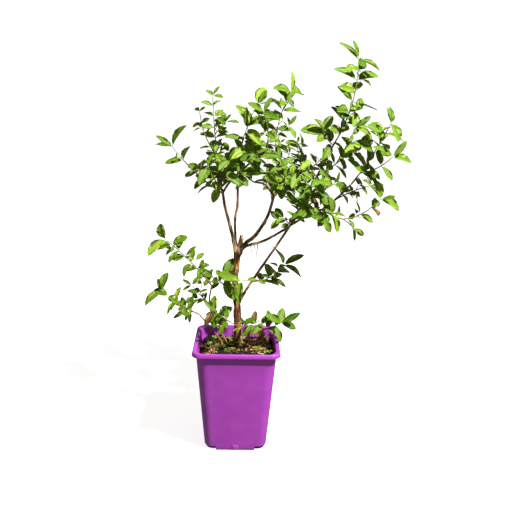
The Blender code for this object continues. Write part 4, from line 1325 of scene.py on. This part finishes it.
SEEDLINGS = [(-43.6, 12.1, 6, 3), (-36.4, 29.7, 6, 6), (0.4, 26.7, 9, 8), (0.6, 11.5, 7, 5),
             (-7.8, 4.2, 5, 4), (-4.0, 30.0, 8, 14), (22.4, 10.0, 6, 3), (12.0, 10.1, 6, 2),
             (29.8, -3.5, 6, 4), (38.8, -13.2, 5, 3), (48.7, -21.2, 5, 3), (-20.0, 31.0, 6, 5),
             (-12.0, 20.0, 6, 6), (44.0, -17.0, 4, 3), (8.0, 33.0, 7, 9)]
SEEDLING_FOOT = 0.45
SEEDLING_TIP = 0.3
seedling_bm, seedling_stem_bm = bmesh.new(), bmesh.new()
for x, y, size, tall in SEEDLINGS:
    foot = on_soil(x, y, -0.5)
    head = foot + Vector((rule.uniform(-1.5, 1.5), rule.uniform(-1.5, 0.5), tall + 0.8)) * MM
    stem = bowed_path(foot, head, Vector((0.3, 0, 0)) * MM, 2)
    twig(seedling_stem_bm, stem, SEEDLING_FOOT * MM, SEEDLING_TIP * MM, 3, (0,))
    turn = rule.uniform(0, 90)
    for i in range(4 if tall < 6 else 6):
        angle = math.radians(turn + 90 * i + rule.uniform(-12, 12))
        along = Vector((math.cos(angle), math.sin(angle), rule.uniform(0.1, 0.7))).normalized()
        root = head if i < 4 else foot.lerp(head, 0.6)
        leaf = (root, along, Vector((0, -0.3, 1)), size * rule.uniform(0.8, 1.2), size * 0.6)
        lay_leaf(seedling_bm, leaf, rule, TONE_SHARES["seedling"])
piece(seedling_stem_bm, "seedling_stems", twig_barks[2:])
seedlings = piece(seedling_bm, "seedling_leaves", leaf_finishes)

FALLEN = [(46, 47, 26, 0.9), (38, 40, 20, 0.4), (50, 30, 18, 0.3), (33, 31, 16, 0.5),
          (-52, -6, 13, 0.3), (-47, 4, 11, 0.2), (-26, 33, 14, 0.5), (24, 22, 15, 0.3),
          (50, 8, 16, 0.4), (42, -2, 15, 0.3), (28, 45, 14, 0.6), (12, -6, 12, 0.2)]
fallen_bm = bmesh.new()
for x, y, size, lean in FALLEN:
    angle = rule.uniform(0, 2 * math.pi)
    along = Vector((math.cos(angle), math.sin(angle), lean)).normalized()
    upper = Vector((rule.uniform(-0.7, 0.7), rule.uniform(-1, 0.2), 0.8))
    lay_leaf(fallen_bm, (on_soil(x, y, 1.2), along, upper, size, size * 0.55), rule,
             TONE_SHARES["fallen"])
fallen = piece(fallen_bm, "fallen_leaves", leaf_finishes)
print("seedling leaves:", len(seedlings.data.polygons), "fallen:", len(fallen.data.polygons))

# %% [markdown]
# The studio is plain: a pale sweep that is floor and wall in one, a small main light from the
# upper right and front, where the photograph's highlights come from, and a dim even sky. The
# sweep glows faintly and gives back no bounce light. Otherwise it would light the plant from
# below and wash out the deep greens under the leaves.

# %% The sweep and the lights
SWEEP_RADIUS = 3.2
SWEEP_RISE = 1.2
SWEEP_WALL = 3.0
SWEEP_GLOW = 0.80
sweep_bm = bmesh.new()
bmesh.ops.create_circle(sweep_bm, cap_ends=True, radius=SWEEP_RADIUS, segments=96)
reach, climb = SWEEP_RADIUS, 0.0
for turned in range(15, 91, 15):
    before, low = reach, climb
    reach = SWEEP_RADIUS + SWEEP_RISE * math.sin(math.radians(turned))
    climb = SWEEP_RISE * (1 - math.cos(math.radians(turned)))
    rim = extended_rim(sweep_bm)
    bmesh.ops.scale(sweep_bm, vec=(reach / before, reach / before, 1), verts=rim)
    bmesh.ops.translate(sweep_bm, vec=(0, 0, climb - low), verts=rim)
bmesh.ops.translate(sweep_bm, vec=(0, 0, SWEEP_WALL), verts=extended_rim(sweep_bm))
sweep_mesh = mesh_of(sweep_bm, "studio_sweep")
sweep_mesh.shade_smooth()
paper = finish("pale_paper", "#E0E0E0", 0.95, Emission_Color=(1, 1, 1, 1),
               Emission_Strength=SWEEP_GLOW, Specular_IOR_Level=0.0)[0]
sweep_mesh.materials.append(paper)
sweep = placed("studio_sweep", sweep_mesh)
sweep.visible_diffuse = False
sweep.visible_glossy = False
sweep.visible_shadow = False
sweep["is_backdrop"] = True

SKY_STRENGTH = 0.25
world = bpy.data.worlds.new("even_sky")
world.use_nodes = True
sky = world.node_tree.nodes["Background"]
sky.inputs["Color"].default_value = linear("#FFFCF2")
sky.inputs["Strength"].default_value = SKY_STRENGTH
scene.world = world

PLANT_MIDDLE = Vector((0.05, 0.0, 0.30))
KEY_FROM = Vector((0.46, -0.44, 0.77)).normalized()
KEY_DISTANCE = 2.2
KEY_SIZE = 0.10
KEY_ENERGY = 108
key_data = bpy.data.lights.new("main_light", "AREA")
key_data.shape = "DISK"
key_data.size = KEY_SIZE
key_data.energy = KEY_ENERGY
key_data.color = (1.0, 0.985, 0.95)
key = placed("main_light", key_data)
key.location = PLANT_MIDDLE + KEY_FROM * KEY_DISTANCE
key.rotation_euler = KEY_FROM.to_track_quat("Z", "Y").to_euler()
scene.view_settings.view_transform = "Standard"
print("main light at", [round(value, 2) for value in key.location])

# %% [markdown]
# Last, both boxes are printed: the imported model's and the dressed model's. Dressing must
# not change the object's size, and comparing the two boxes after each run shows that at once.

# %% The two boxes, and the end
boxes = {"cad": [list(corner) for corner in cad_box],
         "visual": [list(corner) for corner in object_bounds()]}
for name, (low, high) in boxes.items():
    print(name, "box in mm:", [round((b - a) / MM, 1) for a, b in zip(low, high)])
